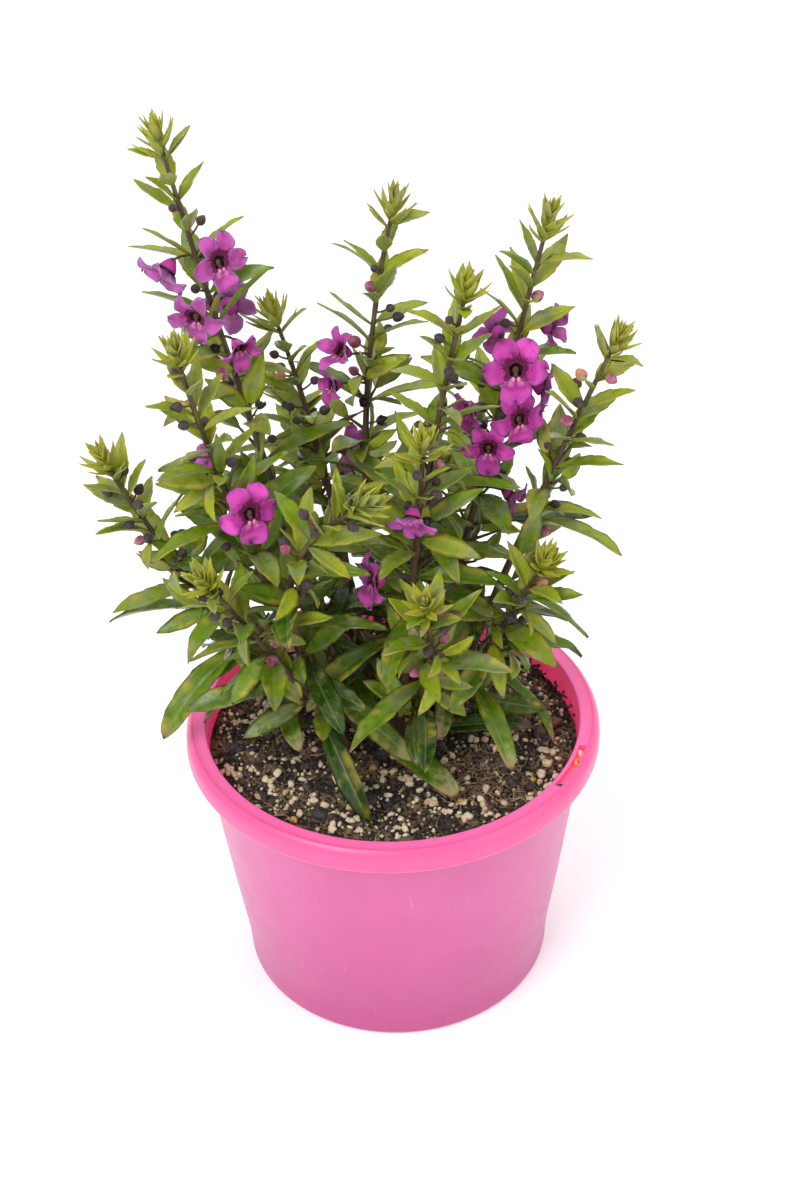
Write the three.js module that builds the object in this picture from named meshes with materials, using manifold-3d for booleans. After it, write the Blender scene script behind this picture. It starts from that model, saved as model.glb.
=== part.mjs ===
// A potted angelonia: a squat plastic pot with a rolled rim, potting mix, leafy flowering shoots and blooms.
// Millimetres, +Z up. The origin is the centre of the pot's foot, on the surface that it stands on.
// The photograph's viewer stands at -Y and looks along +Y; +X is to the viewer's right.
import * as THREE from "three";
import { mergeVertices } from "three/addons/utils/BufferGeometryUtils.js";
import Module from "manifold-3d";

const wasm = await Module();
wasm.setup();
const { Manifold, Mesh } = wasm;

// Driving dimensions of the pot
const POT_HEIGHT = 107.4;
const RIM_RADIUS = 75;
const RIM_INNER_RADIUS = 67.2;
const RIM_BAND = 9;
const RIM_FOOT = POT_HEIGHT - RIM_BAND;
const FOOT_RADIUS = 57.4;
const FOOT_EDGE = 1.2; // how far the flat underside ends inside the wall's foot
const WALL = 1.4;
const FLOOR = 2.2;
const POT_SIDES = 36;
// The outer wall: nearly upright near the foot, then flaring up to the rim
const WALL_OUTLINE = [[FOOT_RADIUS, 1.4], [57.9, 12], [62, 41], [69.2, RIM_FOOT]];
// The rim's section, from under its outer edge over its flat top to its inner edge
const RIM_OUTLINE = [
  [RIM_RADIUS - 0.8, RIM_FOOT + 0.2], [RIM_RADIUS, RIM_FOOT + 3], [RIM_RADIUS - 0.7, POT_HEIGHT - 1.9],
  [RIM_RADIUS - 3.6, POT_HEIGHT], [RIM_INNER_RADIUS + 0.5, POT_HEIGHT], [RIM_INNER_RADIUS, POT_HEIGHT - 0.9],
];
const DRAIN_HOLES = { count: 6, ring: 40, radius: 4, sides: 8 };
// The slot in the rim that takes a plant label, by its two bearings in degrees
const LABEL_SLOT = { from: -37, to: -17.6, radius: 70.3, width: 1.8, depth: 3.4, steps: 6 };

// Driving dimensions of the potting mix
const SOIL_TOP = 95.5;
const SOIL_SIDES = 24;
const SOIL_RINGS = 5;
const SOIL_CROWN = { height: 2.5, spread: 20 };
// Two crossing waves make the top lumpy
const BROAD_LUMPS = { height: 0.55, x: 5.3, y: 4.4, start: 1 };
const FINE_LUMPS = { height: 0.45, x: 3.1, y: 4.7 };
const SOIL_EDGE = 2.2; // how far the top's edge is worn down below the mix's level
const GRANULES = { count: 26, least: 1.8, most: 3.2, inside: 4, bared: 0.1, seed: 4177 };

// Driving dimensions of the shoots
const CLEAR = 0.32; // the gap kept between pieces that touch
const SOIL_CLEAR = CLEAR + 0.1; // the same round the mix, where both walls have flat sides
const STEM = { foot: 1.7, tip: 0.85, sides: 4, steps: 6, root: 12, collar: 2, measureSteps: 24 };
const ROOT_HOLE = { radius: STEM.foot + 0.75, sides: 6 };

// Each shoot: where it leaves the soil, where it is halfway, its tip, and the bearing of its lowest leaf pair
// in degrees
const SHOOTS = [
  { name: "tall_left", foot: [-14, 17], half: [-43, 23, 208], tip: [-67, 30, 312], bearing: 25 },
  { name: "tall_centre", foot: [0, 23], half: [-7, 33, 192], tip: [4, 44, 280], bearing: 70 },
  { name: "tall_right", foot: [12, 17], half: [33, 20, 194], tip: [53, 24, 283], bearing: 10 },
  { name: "front_left", foot: [-17, 2], half: [-45, -9, 184], tip: [-62, -22, 264], bearing: 40 },
  { name: "mid_right", foot: [5, 9], half: [12, 6, 186], tip: [26, 2, 271], bearing: 15 },
  { name: "far_right", foot: [18, 9], half: [46, 7, 178], tip: [73, 4, 250], bearing: 55 },
  { name: "far_left", foot: [-22, 9], half: [-65, 2, 163], tip: [-90, -4, 216], bearing: 35 },
  { name: "back_left", foot: [-8, 19], half: [-19, 32, 176], tip: [-35, 42, 243], bearing: 60 },
  { name: "front_centre", foot: [2, 0], half: [8, -10, 168], tip: [12, -20, 228], bearing: 0 },
  { name: "leaning", foot: [-8, -2], half: [-33, -22, 172], tip: [-10, -36, 219], bearing: 80 },
  { name: "front_low", foot: [5, -9], half: [12, -28, 148], tip: [12, -46, 186], bearing: 45 },
  { name: "left_low", foot: [-15, -7], half: [-38, -24, 150], tip: [-57, -40, 193], bearing: 5 },
  { name: "rear_left", foot: [-9, 29], half: [-22, 54, 158], tip: [-36, 70, 198], bearing: 30 },
  { name: "rear_right", foot: [9, 27], half: [25, 52, 162], tip: [40, 68, 203], bearing: 75 },
  { name: "right_low", foot: [17, 0], half: [36, -10, 146], tip: [50, -22, 184], bearing: 20 },
];

// Leaves by the share of the shoot's length that they stand at: the gap to the next pair, the leaf's length,
// then the angle from the stem and the droop over the leaf's length, in degrees
const LEAF = {
  first: 11,
  last: 0.965,
  spacing: (share) => 17.5 - 7.5 * share,
  length: (share) => 50 - 20 * share - 20 * share * share,
  halfWidth: (length) => 0.08 * length + 1.3,
  pitch: (share) => 98 - 62 * share,
  droop: (share) => 56 - 48 * share,
  leastDroop: 4,
  fold: 10,
  keel: 0.75,
  seed: 7001,
  seedStep: 131,
};
// How far leaves differ from the rule: along the stem, in bearing, length, pitch, droop and roll
const UNEVEN = { place: 0.16, bearing: 14, length: 0.14, pitch: 9, droop: 12, roll: 24 };
const UPRIGHT = 0.45; // how far a leaf's stem direction is turned towards the vertical
// Outlines as [share of the length, then the share of the half width on the right and on the left]; a large
// leaf's teeth make its two sides uneven
const LARGE_OUTLINE = [[0.22, 0.84, 0.7], [0.48, 0.9, 1.05], [0.76, 0.82, 0.6]];
const SMALL_OUTLINE = [[0.3, 0.92, 0.92], [0.72, 0.82, 0.82]];
const LARGE_FROM = 31; // leaves at least this long have the large outline

// How near another piece a leaf may pass, and what a crowded leaf tries before it is left out
const LEAF_CLEAR = 2.7;
const OWN_CLEAR = 1.7;
const PIECE_CLEAR = 1.6;
const TRIES = { lengths: [1, 0.8], pitches: [0, -16, 12], bearings: [0, 15, -15, 30, -30, 45, -45] };
// How far leaves stay from the pot's side, its rim, the ground and the soil
const POT_CLEAR = { side: 3, rim: 1.8, insideRim: 4, ground: 2, soil: 2.6 };
// Points over a blade that are kept clear: their spacing, their shares of the half width, the least width,
// and the share of the length past which a leaf may not touch its own shoot's other leaves
const SAMPLES = { spacing: 3.2, across: [-0.9, -0.45, 0, 0.45, 0.9], leastWidth: 0.25, outerFrom: 0.3 };
const STEM_SAMPLES = { spacing: 3, reach: PIECE_CLEAR + STEM.foot + 0.6 };

// The head of bracts at a shoot's tip, tier by tier, and the young leaves closed round its middle
const BRACTS = [
  { above: 0, core: 1.7, pitch: 56, length: 11, halfWidth: 1.9, droop: -20 },
  { above: 3.4, core: 2, pitch: 32, length: 9.5, halfWidth: 2, droop: -15 },
];
const BRACT = { sides: 4, belly: 0.55, halfThickness: 0.35 };
const HEAD = { step: 1.8, length: 11, neck: 1.36, neckBelow: 1, rootBelow: 4, tierTurn: 45, shootTurn: 25 };
// Round buds on their pedicels, with the chance of one at each place and the shares of the length they span
const BUD = {
  radius: 2, neck: 0.5, end: 0.9, sides: 4,
  pedicel: 6.5, uneven: 0.25, rise: 0.3,
  chance: 0.5, from: 0.5, to: 0.9, step: 0.06,
  seed: 9001, seedStep: 57,
};

// Blooms: the shoot, the share of its path, the bearing that the flower faces and how far it looks up, the
// pedicel's length, the flower's size as a share of full, and how open it is
const BLOOMS = [
  { shoot: "tall_left", share: 0.83, bearing: 225, lift: -35, pedicel: 9, size: 0.95, open: 0.55 },
  { shoot: "tall_left", share: 0.82, bearing: -50, lift: 10, pedicel: 8, size: 0.95, open: 0.85 },
  { shoot: "tall_left", share: 0.71, bearing: 75, lift: -10, pedicel: 8, size: 0.9, open: 0.75 },
  { shoot: "tall_left", share: 0.75, bearing: 250, lift: -15, pedicel: 8, size: 0.9, open: 0.7 },
  { shoot: "tall_left", share: 0.69, bearing: -60, lift: -25, pedicel: 9, size: 0.75, open: 0.45 },
  { shoot: "tall_right", share: 0.75, bearing: -90, lift: 12, pedicel: 10, size: 1.05, open: 1 },
  { shoot: "tall_right", share: 0.65, bearing: -65, lift: 5, pedicel: 9, size: 0.95, open: 0.95 },
  { shoot: "tall_right", share: 0.8, bearing: 25, lift: -15, pedicel: 8, size: 0.8, open: 0.5 },
  { shoot: "tall_right", share: 0.69, bearing: -5, lift: -10, pedicel: 9, size: 0.8, open: 0.7 },
  { shoot: "tall_right", share: 0.76, bearing: 115, lift: 0, pedicel: 8, size: 0.8, open: 0.7 },
  { shoot: "tall_right", share: 0.59, bearing: -100, lift: 0, pedicel: 9, size: 0.85, open: 0.8 },
  { shoot: "tall_right", share: 0.65, bearing: 215, lift: -10, pedicel: 9, size: 0.75, open: 0.5 },
  { shoot: "tall_right", share: 0.48, bearing: -30, lift: -20, pedicel: 9, size: 0.7, open: 0.4 },
  { shoot: "tall_centre", share: 0.73, bearing: 215, lift: 30, pedicel: 8, size: 0.85, open: 0.4 },
  { shoot: "tall_centre", share: 0.67, bearing: 210, lift: 0, pedicel: 10, size: 0.7, open: 0.5 },
  { shoot: "back_left", share: 0.62, bearing: 40, lift: -20, pedicel: 8, size: 0.85, open: 0.6 },
  { shoot: "front_left", share: 0.65, bearing: -60, lift: 10, pedicel: 10, size: 1, open: 0.95 },
  { shoot: "front_left", share: 0.69, bearing: 110, lift: 0, pedicel: 7, size: 0.75, open: 0.5 },
  { shoot: "front_centre", share: 0.85, bearing: -105, lift: -40, pedicel: 8, size: 0.85, open: 0.5 },
  { shoot: "front_centre", share: 0.55, bearing: 200, lift: 5, pedicel: 10, size: 0.95, open: 0.75 },
];
const TUBE = 6; // from the back of a full-size flower to its mouth
const MOUTH = 3.3;
const FLOWER = {
  sides: 6,
  cup: [[0, -TUBE], [2.7, -3.6], [MOUTH, 0.2], [0, -3]],
  throatSamples: [0, 0.35, 0.7, 1],
};
// Lobes: bearing round the face and share of the petal's size, two upper, two side and one lower
const LOBES = [[62, 0.92], [118, 0.92], [-8, 0.95], [188, 0.95], [270, 1.08]];
const PETAL = {
  length: 9.4, halfWidth: 4.3, fold: 4, keel: 0.7, droop: 22,
  outline: [[0.45, 0.9, 0.9], [0.86, 0.78, 0.78]],
  rootRadius: MOUTH - 1.3, rootDepth: 1.1, // where its root sits in the mouth
  closedPitch: 78, openTurn: 80, // how far it points forward when closed, and how far it opens
  closedWidth: 0.5, // the share of its width when closed
};
const PEDICEL = {
  rise: 0.25, sides: 4, radii: [0.55, 0.6, 1.5], calyx: 2.2, reach: 1,
  samples: [0.35, 0.6, 0.85],
};

const UP = new THREE.Vector3(0, 0, 1);
const AWAY = new THREE.Vector3(0, 1, 0);
const radians = THREE.MathUtils.degToRad;
const point = (values) => new THREE.Vector3(...values);

// Repeatable random numbers from 0 to 1
function randomFrom(seed) {
  let state = seed;
  return () => {
    state = (state * 1664525 + 1013904223) % 4294967296;
    return state / 4294967296;
  };
}

// A share from -1 to 1
function spread(random) {
  return 2 * random() - 1;
}

// A direction turned by some degrees from a first direction towards a second
function between(first, second, degrees) {
  return first.clone().multiplyScalar(Math.cos(radians(degrees)))
    .addScaledVector(second, Math.sin(radians(degrees)));
}

// Solids

// A closed geometry as a solid for joining and cutting
function solidOf(geometry) {
  const bare = geometry.index ? geometry.toNonIndexed() : geometry.clone();
  const positions = new THREE.BufferGeometry().setAttribute("position", bare.getAttribute("position"));
  const merged = mergeVertices(positions, 1e-4);
  return new Manifold(new Mesh({
    numProp: 3,
    vertProperties: merged.attributes.position.array,
    triVerts: new Uint32Array(merged.index.array),
  }));
}

// A solid back as a geometry
function geometryOf(solid) {
  const mesh = solid.getMesh();
  const geometry = new THREE.BufferGeometry();
  geometry.setAttribute("position", new THREE.BufferAttribute(Float32Array.from(mesh.vertProperties), 3));
  geometry.setIndex(new THREE.BufferAttribute(Uint32Array.from(mesh.triVerts), 1));
  geometry.computeVertexNormals();
  return geometry;
}

// The largest body of a solid, without crumbs that a cut leaves
function largestBody(solid) {
  return solid.decompose().sort((a, b) => b.volume() - a.volume())[0];
}

// A closed skin made from loops of points that share their corners
class Skin {
  constructor() {
    this.corners = [];
    this.faces = [];
  }

  corner(place) {
    return this.corners.push(place) - 1;
  }

  loop(places) {
    return places.map((place) => this.corner(place));
  }

  // Faces between two loops that run the same way round
  band(low, high) {
    low.forEach((corner, side) => {
      const next = (side + 1) % low.length;
      this.faces.push(corner, low[next], high[side], low[next], high[next], high[side]);
    });
  }

  // Faces from a loop up to a point
  close(loop, place) {
    const tip = this.corner(place);
    loop.forEach((corner, side) => this.faces.push(corner, loop[(side + 1) % loop.length], tip));
  }

  solid() {
    return new Manifold(new Mesh({
      numProp: 3,
      vertProperties: Float32Array.from(this.corners.flatMap((v) => [v.x, v.y, v.z])),
      triVerts: Uint32Array.from(this.faces),
    }));
  }
}

// A solid from rings of points, each ring the same number of points, closed to a point at each end
function loft(start, rings, end) {
  const skin = new Skin();
  const loops = rings.map((ring) => skin.loop(ring));
  skin.close([...loops[0]].reverse(), start);
  for (let i = 0; i + 1 < loops.length; i++) skin.band(loops[i], loops[i + 1]);
  skin.close(loops.at(-1), end);
  return skin.solid();
}

// The direction at a bearing in degrees round a stem direction, square to it
function outward(along, bearing) {
  const across = AWAY.clone().cross(along).normalize();
  const other = along.clone().cross(across);
  return between(across, other, bearing);
}

// A ring of points round a centre, square to a direction
function ringRound(centre, along, radius, sides, turned = 0) {
  return Array.from({ length: sides }, (_, side) => (
    centre.clone().addScaledVector(outward(along, (360 * side) / sides + turned), radius)
  ));
}

// A tube of a few sides along points, with a radius at each point
function tube(points, radii, sides) {
  const rings = points.map((centre, i) => {
    const next = points[Math.min(i + 1, points.length - 1)];
    const before = points[Math.max(i - 1, 0)];
    return ringRound(centre, next.clone().sub(before).normalize(), radii[i], sides);
  });
  return loft(points[0], rings, points.at(-1));
}

// An upright cylinder by its middle, for cutting holes
function upright(radius, height, sides, middle) {
  const cylinder = new THREE.CylinderGeometry(radius, radius, height, sides);
  cylinder.rotateX(Math.PI / 2);
  cylinder.translate(middle.x, middle.y, middle.z);
  return solidOf(cylinder);
}

// A shoot's path: a parabola through its foot, its halfway point and its tip
class Stem {
  constructor(shoot) {
    this.foot = point([...shoot.foot, SOIL_TOP]);
    this.tip = point(shoot.tip);
    this.bend = point(shoot.half).multiplyScalar(2)
      .addScaledVector(this.foot, -0.5)
      .addScaledVector(this.tip, -0.5);
    this.length = this.measure();
  }

  at(share) {
    const rest = 1 - share;
    return this.foot.clone().multiplyScalar(rest * rest)
      .addScaledVector(this.bend, 2 * rest * share)
      .addScaledVector(this.tip, share * share);
  }

  along(share) {
    return this.bend.clone().sub(this.foot).multiplyScalar(1 - share)
      .addScaledVector(this.tip.clone().sub(this.bend), share)
      .normalize();
  }

  // The direction that leaves and flowers spread round, nearer to the vertical than the stem itself
  level(share) {
    return this.along(share).multiplyScalar(1 - UPRIGHT).addScaledVector(UP, UPRIGHT).normalize();
  }

  radius(share) {
    return STEM.foot + (STEM.tip - STEM.foot) * share;
  }

  measure() {
    const steps = STEM.measureSteps;
    let length = 0;
    for (let i = 0; i < steps; i++) length += this.at(i / steps).distanceTo(this.at((i + 1) / steps));
    return length;
  }

  // Points along the stem that other shoots' leaves keep clear of
  samples() {
    const count = Math.ceil(this.length / STEM_SAMPLES.spacing);
    return Array.from({ length: count + 1 }, (_, i) => ({ place: this.at(i / count), outer: false }));
  }

  solid() {
    const shares = Array.from({ length: STEM.steps }, (_, i) => (i + 1) / STEM.steps);
    const root = this.foot.clone().setZ(SOIL_TOP - STEM.root);
    const collar = this.foot.clone().setZ(SOIL_TOP + STEM.collar);
    const points = [root, collar, ...shares.map((share) => this.at(share))];
    const radii = [STEM.foot, STEM.foot, ...shares.map((share) => this.radius(share))];
    return tube(points, radii, STEM.sides);
  }
}

// A leaf, bract or petal: its middle line is an arc that droops from its first direction, with its upper face
// towards the normal
class Blade {
  constructor(origin, direction, normal, length, halfWidth, droop) {
    this.origin = origin;
    this.direction = direction;
    this.normal = normal;
    this.side = direction.clone().cross(normal);
    this.length = length;
    this.halfWidth = halfWidth;
    this.droop = droop;
  }

  // The middle line and the upward direction at a share of the length
  at(share) {
    const turn = radians(this.droop) * share;
    const bow = this.length / radians(this.droop);
    const middle = this.origin.clone()
      .addScaledVector(this.direction, bow * Math.sin(turn))
      .addScaledVector(this.normal, -bow * (1 - Math.cos(turn)));
    return { middle, up: between(this.normal, this.direction, this.droop * share) };
  }

  // A point at a share of the length and of the half width, on a face raised along the sides by the fold
  surface(share, across, fold) {
    const { middle, up } = this.at(share);
    const reach = across * this.halfWidth;
    return middle.addScaledVector(this.side, reach * Math.cos(radians(fold)))
      .addScaledVector(up, Math.abs(reach) * Math.sin(radians(fold)));
  }

  // The blade as a thin solid: two edges and a keel line below
  solid(outline, fold, keel) {
    const rings = outline.map(([share, right, left]) => {
      const { middle, up } = this.at(share);
      return [
        this.surface(share, right, fold),
        middle.addScaledVector(up, -keel),
        this.surface(share, -left, fold),
      ];
    });
    return loft(this.at(0).middle, rings, this.at(1).middle);
  }

  // The four corners across the blade at a share of its length, from its under face round to its upper face
  section(share, halfThickness) {
    const { middle, up } = this.at(share);
    return [[1, -1], [-1, -1], [-1, 1], [1, 1]].map(([across, rise]) => (
      middle.clone()
        .addScaledVector(this.side, across * this.halfWidth)
        .addScaledVector(up, rise * halfThickness)
    ));
  }

  // Points spread over the blade, for keeping other pieces clear of it
  samples() {
    const rows = Math.ceil(this.length / SAMPLES.spacing);
    return Array.from({ length: rows }, (_, row) => (row + 1) / rows).flatMap((share) => {
      const width = Math.min(1, 4 * share * (1 - share) + SAMPLES.leastWidth);
      const outer = share > SAMPLES.outerFrom;
      return SAMPLES.across.map((across) => (
        { place: this.surface(share, across * width, LEAF.fold), outer }
      ));
    });
  }
}

// Points with the ball round them
class Group {
  constructor(owner, points, reach = 0) {
    this.owner = owner;
    this.points = points;
    this.reach = reach;
    this.centre = new THREE.Vector3();
    points.forEach((p) => this.centre.add(p.place));
    this.centre.divideScalar(points.length);
    this.radius = Math.max(...points.map((p) => p.place.distanceTo(this.centre)));
  }
}

// Keeps what is placed so far and tells whether a new piece is clear of it
class Crowd {
  constructor() {
    this.groups = [];
  }

  add(owner, points, reach) {
    this.groups.push(new Group(owner, points, reach));
  }

  // Another owner's points stay at their reach; the same owner's outer points stay a leaf's thickness apart
  clear(owner, points) {
    if (!points.every((p) => clearOfPot(p.place))) return false;
    const fresh = new Group(owner, points);
    return this.groups.every((group) => {
      const own = group.owner === owner;
      const near = own ? OWN_CLEAR : group.reach;
      if (group.centre.distanceTo(fresh.centre) > group.radius + fresh.radius + near) return true;
      return points.every((p) => (own && !p.outer) || group.points.every(
        (q) => (own && !q.outer) || p.place.distanceTo(q.place) > near,
      ));
    });
  }
}

// A leaf passes over the soil and over the rim, or hangs outside the pot
function clearOfPot(place) {
  const out = Math.hypot(place.x, place.y);
  if (out > RIM_RADIUS + POT_CLEAR.side) return place.z > POT_CLEAR.ground;
  if (out > RIM_INNER_RADIUS - POT_CLEAR.insideRim) return place.z > POT_HEIGHT + POT_CLEAR.rim;
  return place.z > soilHeight(place.x, place.y) + POT_CLEAR.soil;
}

// Pot and potting mix

// The radius of the pot's inside at a height
function innerRadius(z) {
  const above = Math.max(WALL_OUTLINE.findIndex(([, height]) => height >= z), 1);
  const [r1, z1] = WALL_OUTLINE[above];
  const [r0, z0] = WALL_OUTLINE[above - 1];
  return r0 + ((r1 - r0) * (z - z0)) / (z1 - z0) - WALL;
}

function labelSlot() {
  const { from, to, radius, width, depth, steps } = LABEL_SLOT;
  const turns = Array.from({ length: steps + 1 }, (_, i) => radians(from + ((to - from) * i) / steps));
  const arc = (r) => turns.map((turn) => new THREE.Vector2(r * Math.cos(turn), r * Math.sin(turn)));
  const shape = new THREE.Shape([...arc(radius + width / 2), ...arc(radius - width / 2).reverse()]);
  const cut = new THREE.ExtrudeGeometry(shape, { depth: 2 * depth, bevelEnabled: false });
  return solidOf(cut.translate(0, 0, POT_HEIGHT - depth));
}

function drainHoles() {
  return Array.from({ length: DRAIN_HOLES.count }, (_, i) => {
    const turn = (2 * Math.PI * (i + 0.5)) / DRAIN_HOLES.count;
    const middle = point([DRAIN_HOLES.ring * Math.cos(turn), DRAIN_HOLES.ring * Math.sin(turn), FLOOR / 2]);
    return upright(DRAIN_HOLES.radius, 4 * FLOOR, DRAIN_HOLES.sides, middle);
  });
}

function makePot() {
  const insideHeights = [...WALL_OUTLINE.slice(1).map(([, z]) => z).reverse(), FLOOR];
  const inside = insideHeights.map((z) => [innerRadius(z), z]);
  const foot = [[0, 0], [FOOT_RADIUS - FOOT_EDGE, 0]];
  const outline = [...foot, ...WALL_OUTLINE, ...RIM_OUTLINE, ...inside, [0, FLOOR]];
  const shell = new THREE.LatheGeometry(outline.map(([r, z]) => new THREE.Vector2(r, z)), POT_SIDES);
  shell.rotateX(Math.PI / 2);
  return solidOf(shell).subtract(Manifold.union([...drainHoles(), labelSlot()]));
}

// The height of the potting mix: low lumps and a slight mound round the crown
function soilHeight(x, y) {
  const { start } = BROAD_LUMPS;
  const broad = BROAD_LUMPS.height * Math.sin(x / BROAD_LUMPS.x + start) * Math.cos(y / BROAD_LUMPS.y);
  const fine = FINE_LUMPS.height * Math.sin(x / FINE_LUMPS.x + y / FINE_LUMPS.y);
  const crown = SOIL_CROWN.height * Math.exp(-((Math.hypot(x, y) / SOIL_CROWN.spread) ** 2));
  return SOIL_TOP + broad + fine + crown;
}

function soilRing(radius, heightOf) {
  return Array.from({ length: SOIL_SIDES }, (_, side) => {
    const turn = (2 * Math.PI * side) / SOIL_SIDES;
    const x = radius * Math.cos(turn);
    const y = radius * Math.sin(turn);
    return new THREE.Vector3(x, y, heightOf(x, y));
  });
}

// Grains half sunk in the top of the mix
function granuleSolids(topRadius) {
  const random = randomFrom(GRANULES.seed);
  return Array.from({ length: GRANULES.count }, () => {
    const out = (topRadius - GRANULES.inside) * Math.sqrt(random());
    const turn = 2 * Math.PI * random();
    const size = GRANULES.least + (GRANULES.most - GRANULES.least) * random();
    const stone = new THREE.OctahedronGeometry(size, 0);
    stone.rotateZ(Math.PI * random());
    stone.rotateX(Math.PI * random());
    const x = out * Math.cos(turn);
    const y = out * Math.sin(turn);
    stone.translate(x, y, soilHeight(x, y) + GRANULES.bared * size);
    return solidOf(stone);
  });
}

// The potting mix: a plug that fills the pot, with a lumpy top, grains and a hole for each stem
function makeSoil(stems) {
  const floor = FLOOR + CLEAR;
  const edge = (z) => innerRadius(z) - SOIL_CLEAR;
  const topRadius = edge(SOIL_TOP - SOIL_EDGE);
  const [, lowBend, highBend] = WALL_OUTLINE.map(([, z]) => z);
  const sides = [floor, lowBend, highBend].map((z) => soilRing(edge(z), () => z));
  const top = Array.from({ length: SOIL_RINGS }, (_, i) => (
    soilRing(topRadius * (1 - i / SOIL_RINGS), soilHeight)
  ));
  const plug = loft(point([0, 0, floor]), [...sides, ...top], point([0, 0, soilHeight(0, 0)]));
  const holes = stems.map((stem) => (
    upright(ROOT_HOLE.radius, 2 * STEM.root, ROOT_HOLE.sides, stem.foot.clone().setZ(SOIL_TOP - CLEAR))
  ));
  return largestBody(Manifold.union([plug, ...granuleSolids(topRadius)]).subtract(Manifold.union(holes)));
}

// Blooms

// Where a bloom stands: its root on the stem, its back and mouth, and its forward, side and upward directions
function placeBloom(bloom, index, stem) {
  const root = stem.at(bloom.share);
  const out = outward(stem.level(bloom.share), bloom.bearing);
  const face = between(out, UP, bloom.lift).normalize();
  const back = root.clone()
    .addScaledVector(out, bloom.pedicel)
    .addScaledVector(UP, PEDICEL.rise * bloom.pedicel);
  const mouth = back.clone().addScaledVector(face, TUBE * bloom.size);
  const side = UP.clone().cross(face).normalize();
  const rise = face.clone().cross(side).normalize();
  const name = `bloom_${String(index + 1).padStart(2, "0")}`;
  return { ...bloom, name, root, back, mouth, face, side, rise };
}

// Each lobe of a flower as a blade from the mouth; a less open flower's lobes point forward
function lobesOf(bloom) {
  return LOBES.map(([bearing, share]) => {
    const out = between(bloom.side, bloom.rise, bearing);
    const forward = PETAL.closedPitch - PETAL.openTurn * bloom.open;
    const direction = between(out, bloom.face, forward);
    const normal = between(bloom.face, out, -forward);
    const start = bloom.mouth.clone()
      .addScaledVector(out, PETAL.rootRadius * bloom.size)
      .addScaledVector(bloom.face, -PETAL.rootDepth * bloom.size);
    const size = share * bloom.size;
    const halfWidth = PETAL.halfWidth * size * (PETAL.closedWidth + (1 - PETAL.closedWidth) * bloom.open);
    return new Blade(start, direction, normal, PETAL.length * size, halfWidth, PETAL.droop);
  });
}

function bloomSamples(bloom) {
  const throat = FLOWER.throatSamples.map((share) => ({
    place: bloom.back.clone().lerp(bloom.mouth, share), outer: true,
  }));
  return [...throat, ...lobesOf(bloom).flatMap((lobe) => lobe.samples())];
}

function bloomSolid(bloom) {
  const cup = new THREE.LatheGeometry(
    FLOWER.cup.map(([r, z]) => new THREE.Vector2(r * bloom.size, z * bloom.size)), FLOWER.sides,
  );
  cup.rotateX(Math.PI / 2);
  const frame = new THREE.Matrix4().makeBasis(bloom.side, bloom.rise, bloom.face);
  cup.applyMatrix4(frame.setPosition(bloom.mouth));
  const petals = lobesOf(bloom).map((lobe) => lobe.solid(PETAL.outline, PETAL.fold, PETAL.keel));
  return Manifold.union([solidOf(cup), ...petals]);
}

function pedicelSamples(bloom) {
  return PEDICEL.samples.map((share) => ({ place: bloom.root.clone().lerp(bloom.back, share), outer: true }));
}

// The stem's pedicel for a bloom swells into a calyx and ends just short of the flower's back
function pedicelSolid(bloom) {
  const end = bloom.back.clone().addScaledVector(bloom.face, -CLEAR);
  const swell = end.clone().addScaledVector(end.clone().sub(bloom.root).normalize(), -PEDICEL.calyx);
  return tube([bloom.root, swell, end], PEDICEL.radii, PEDICEL.sides);
}

// Leaves, buds and heads

// Leaf pairs up one shoot, each at right angles to the last; a crowded leaf is turned aside or left out
function placeLeaves(shoot, crowd) {
  const { stem } = shoot;
  const random = randomFrom(LEAF.seed + LEAF.seedStep * shoot.order);
  const blades = [];
  let reach = LEAF.first;
  for (let pair = 0; reach < stem.length * LEAF.last; pair++) {
    const spacing = LEAF.spacing(reach / stem.length);
    for (const half of [0, 180]) {
      const share = (reach + UNEVEN.place * spread(random) * spacing) / stem.length;
      const bearing = shoot.bearing + 90 * pair + half + UNEVEN.bearing * spread(random);
      const length = LEAF.length(share) * (1 + UNEVEN.length * spread(random));
      const pitch = LEAF.pitch(share) + UNEVEN.pitch * spread(random);
      const droop = Math.max(LEAF.droop(share) + UNEVEN.droop * spread(random), LEAF.leastDroop);
      const roll = UNEVEN.roll * spread(random);
      const blade = firstClear(shoot, { share, bearing, length, pitch, droop, roll }, crowd);
      if (!blade) continue;
      crowd.add(shoot.name, blade.samples(), LEAF_CLEAR);
      blades.push(blade);
    }
    reach += spacing;
  }
  return blades;
}

function firstClear(shoot, leaf, crowd) {
  for (const shorter of TRIES.lengths) {
    for (const raise of TRIES.pitches) {
      for (const aside of TRIES.bearings) {
        const pitch = leaf.pitch + raise;
        const blade = makeLeaf(shoot.stem, leaf, leaf.length * shorter, pitch, leaf.bearing + aside);
        if (crowd.clear(shoot.name, blade.samples())) return blade;
      }
    }
  }
  return null;
}

function makeLeaf(stem, leaf, length, pitch, bearing) {
  const level = stem.level(leaf.share);
  const out = outward(level, bearing);
  const direction = between(level, out, pitch);
  const normal = between(level, out, pitch - 90).applyAxisAngle(direction, radians(leaf.roll));
  return new Blade(stem.at(leaf.share), direction, normal, length, LEAF.halfWidth(length), leaf.droop);
}

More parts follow.
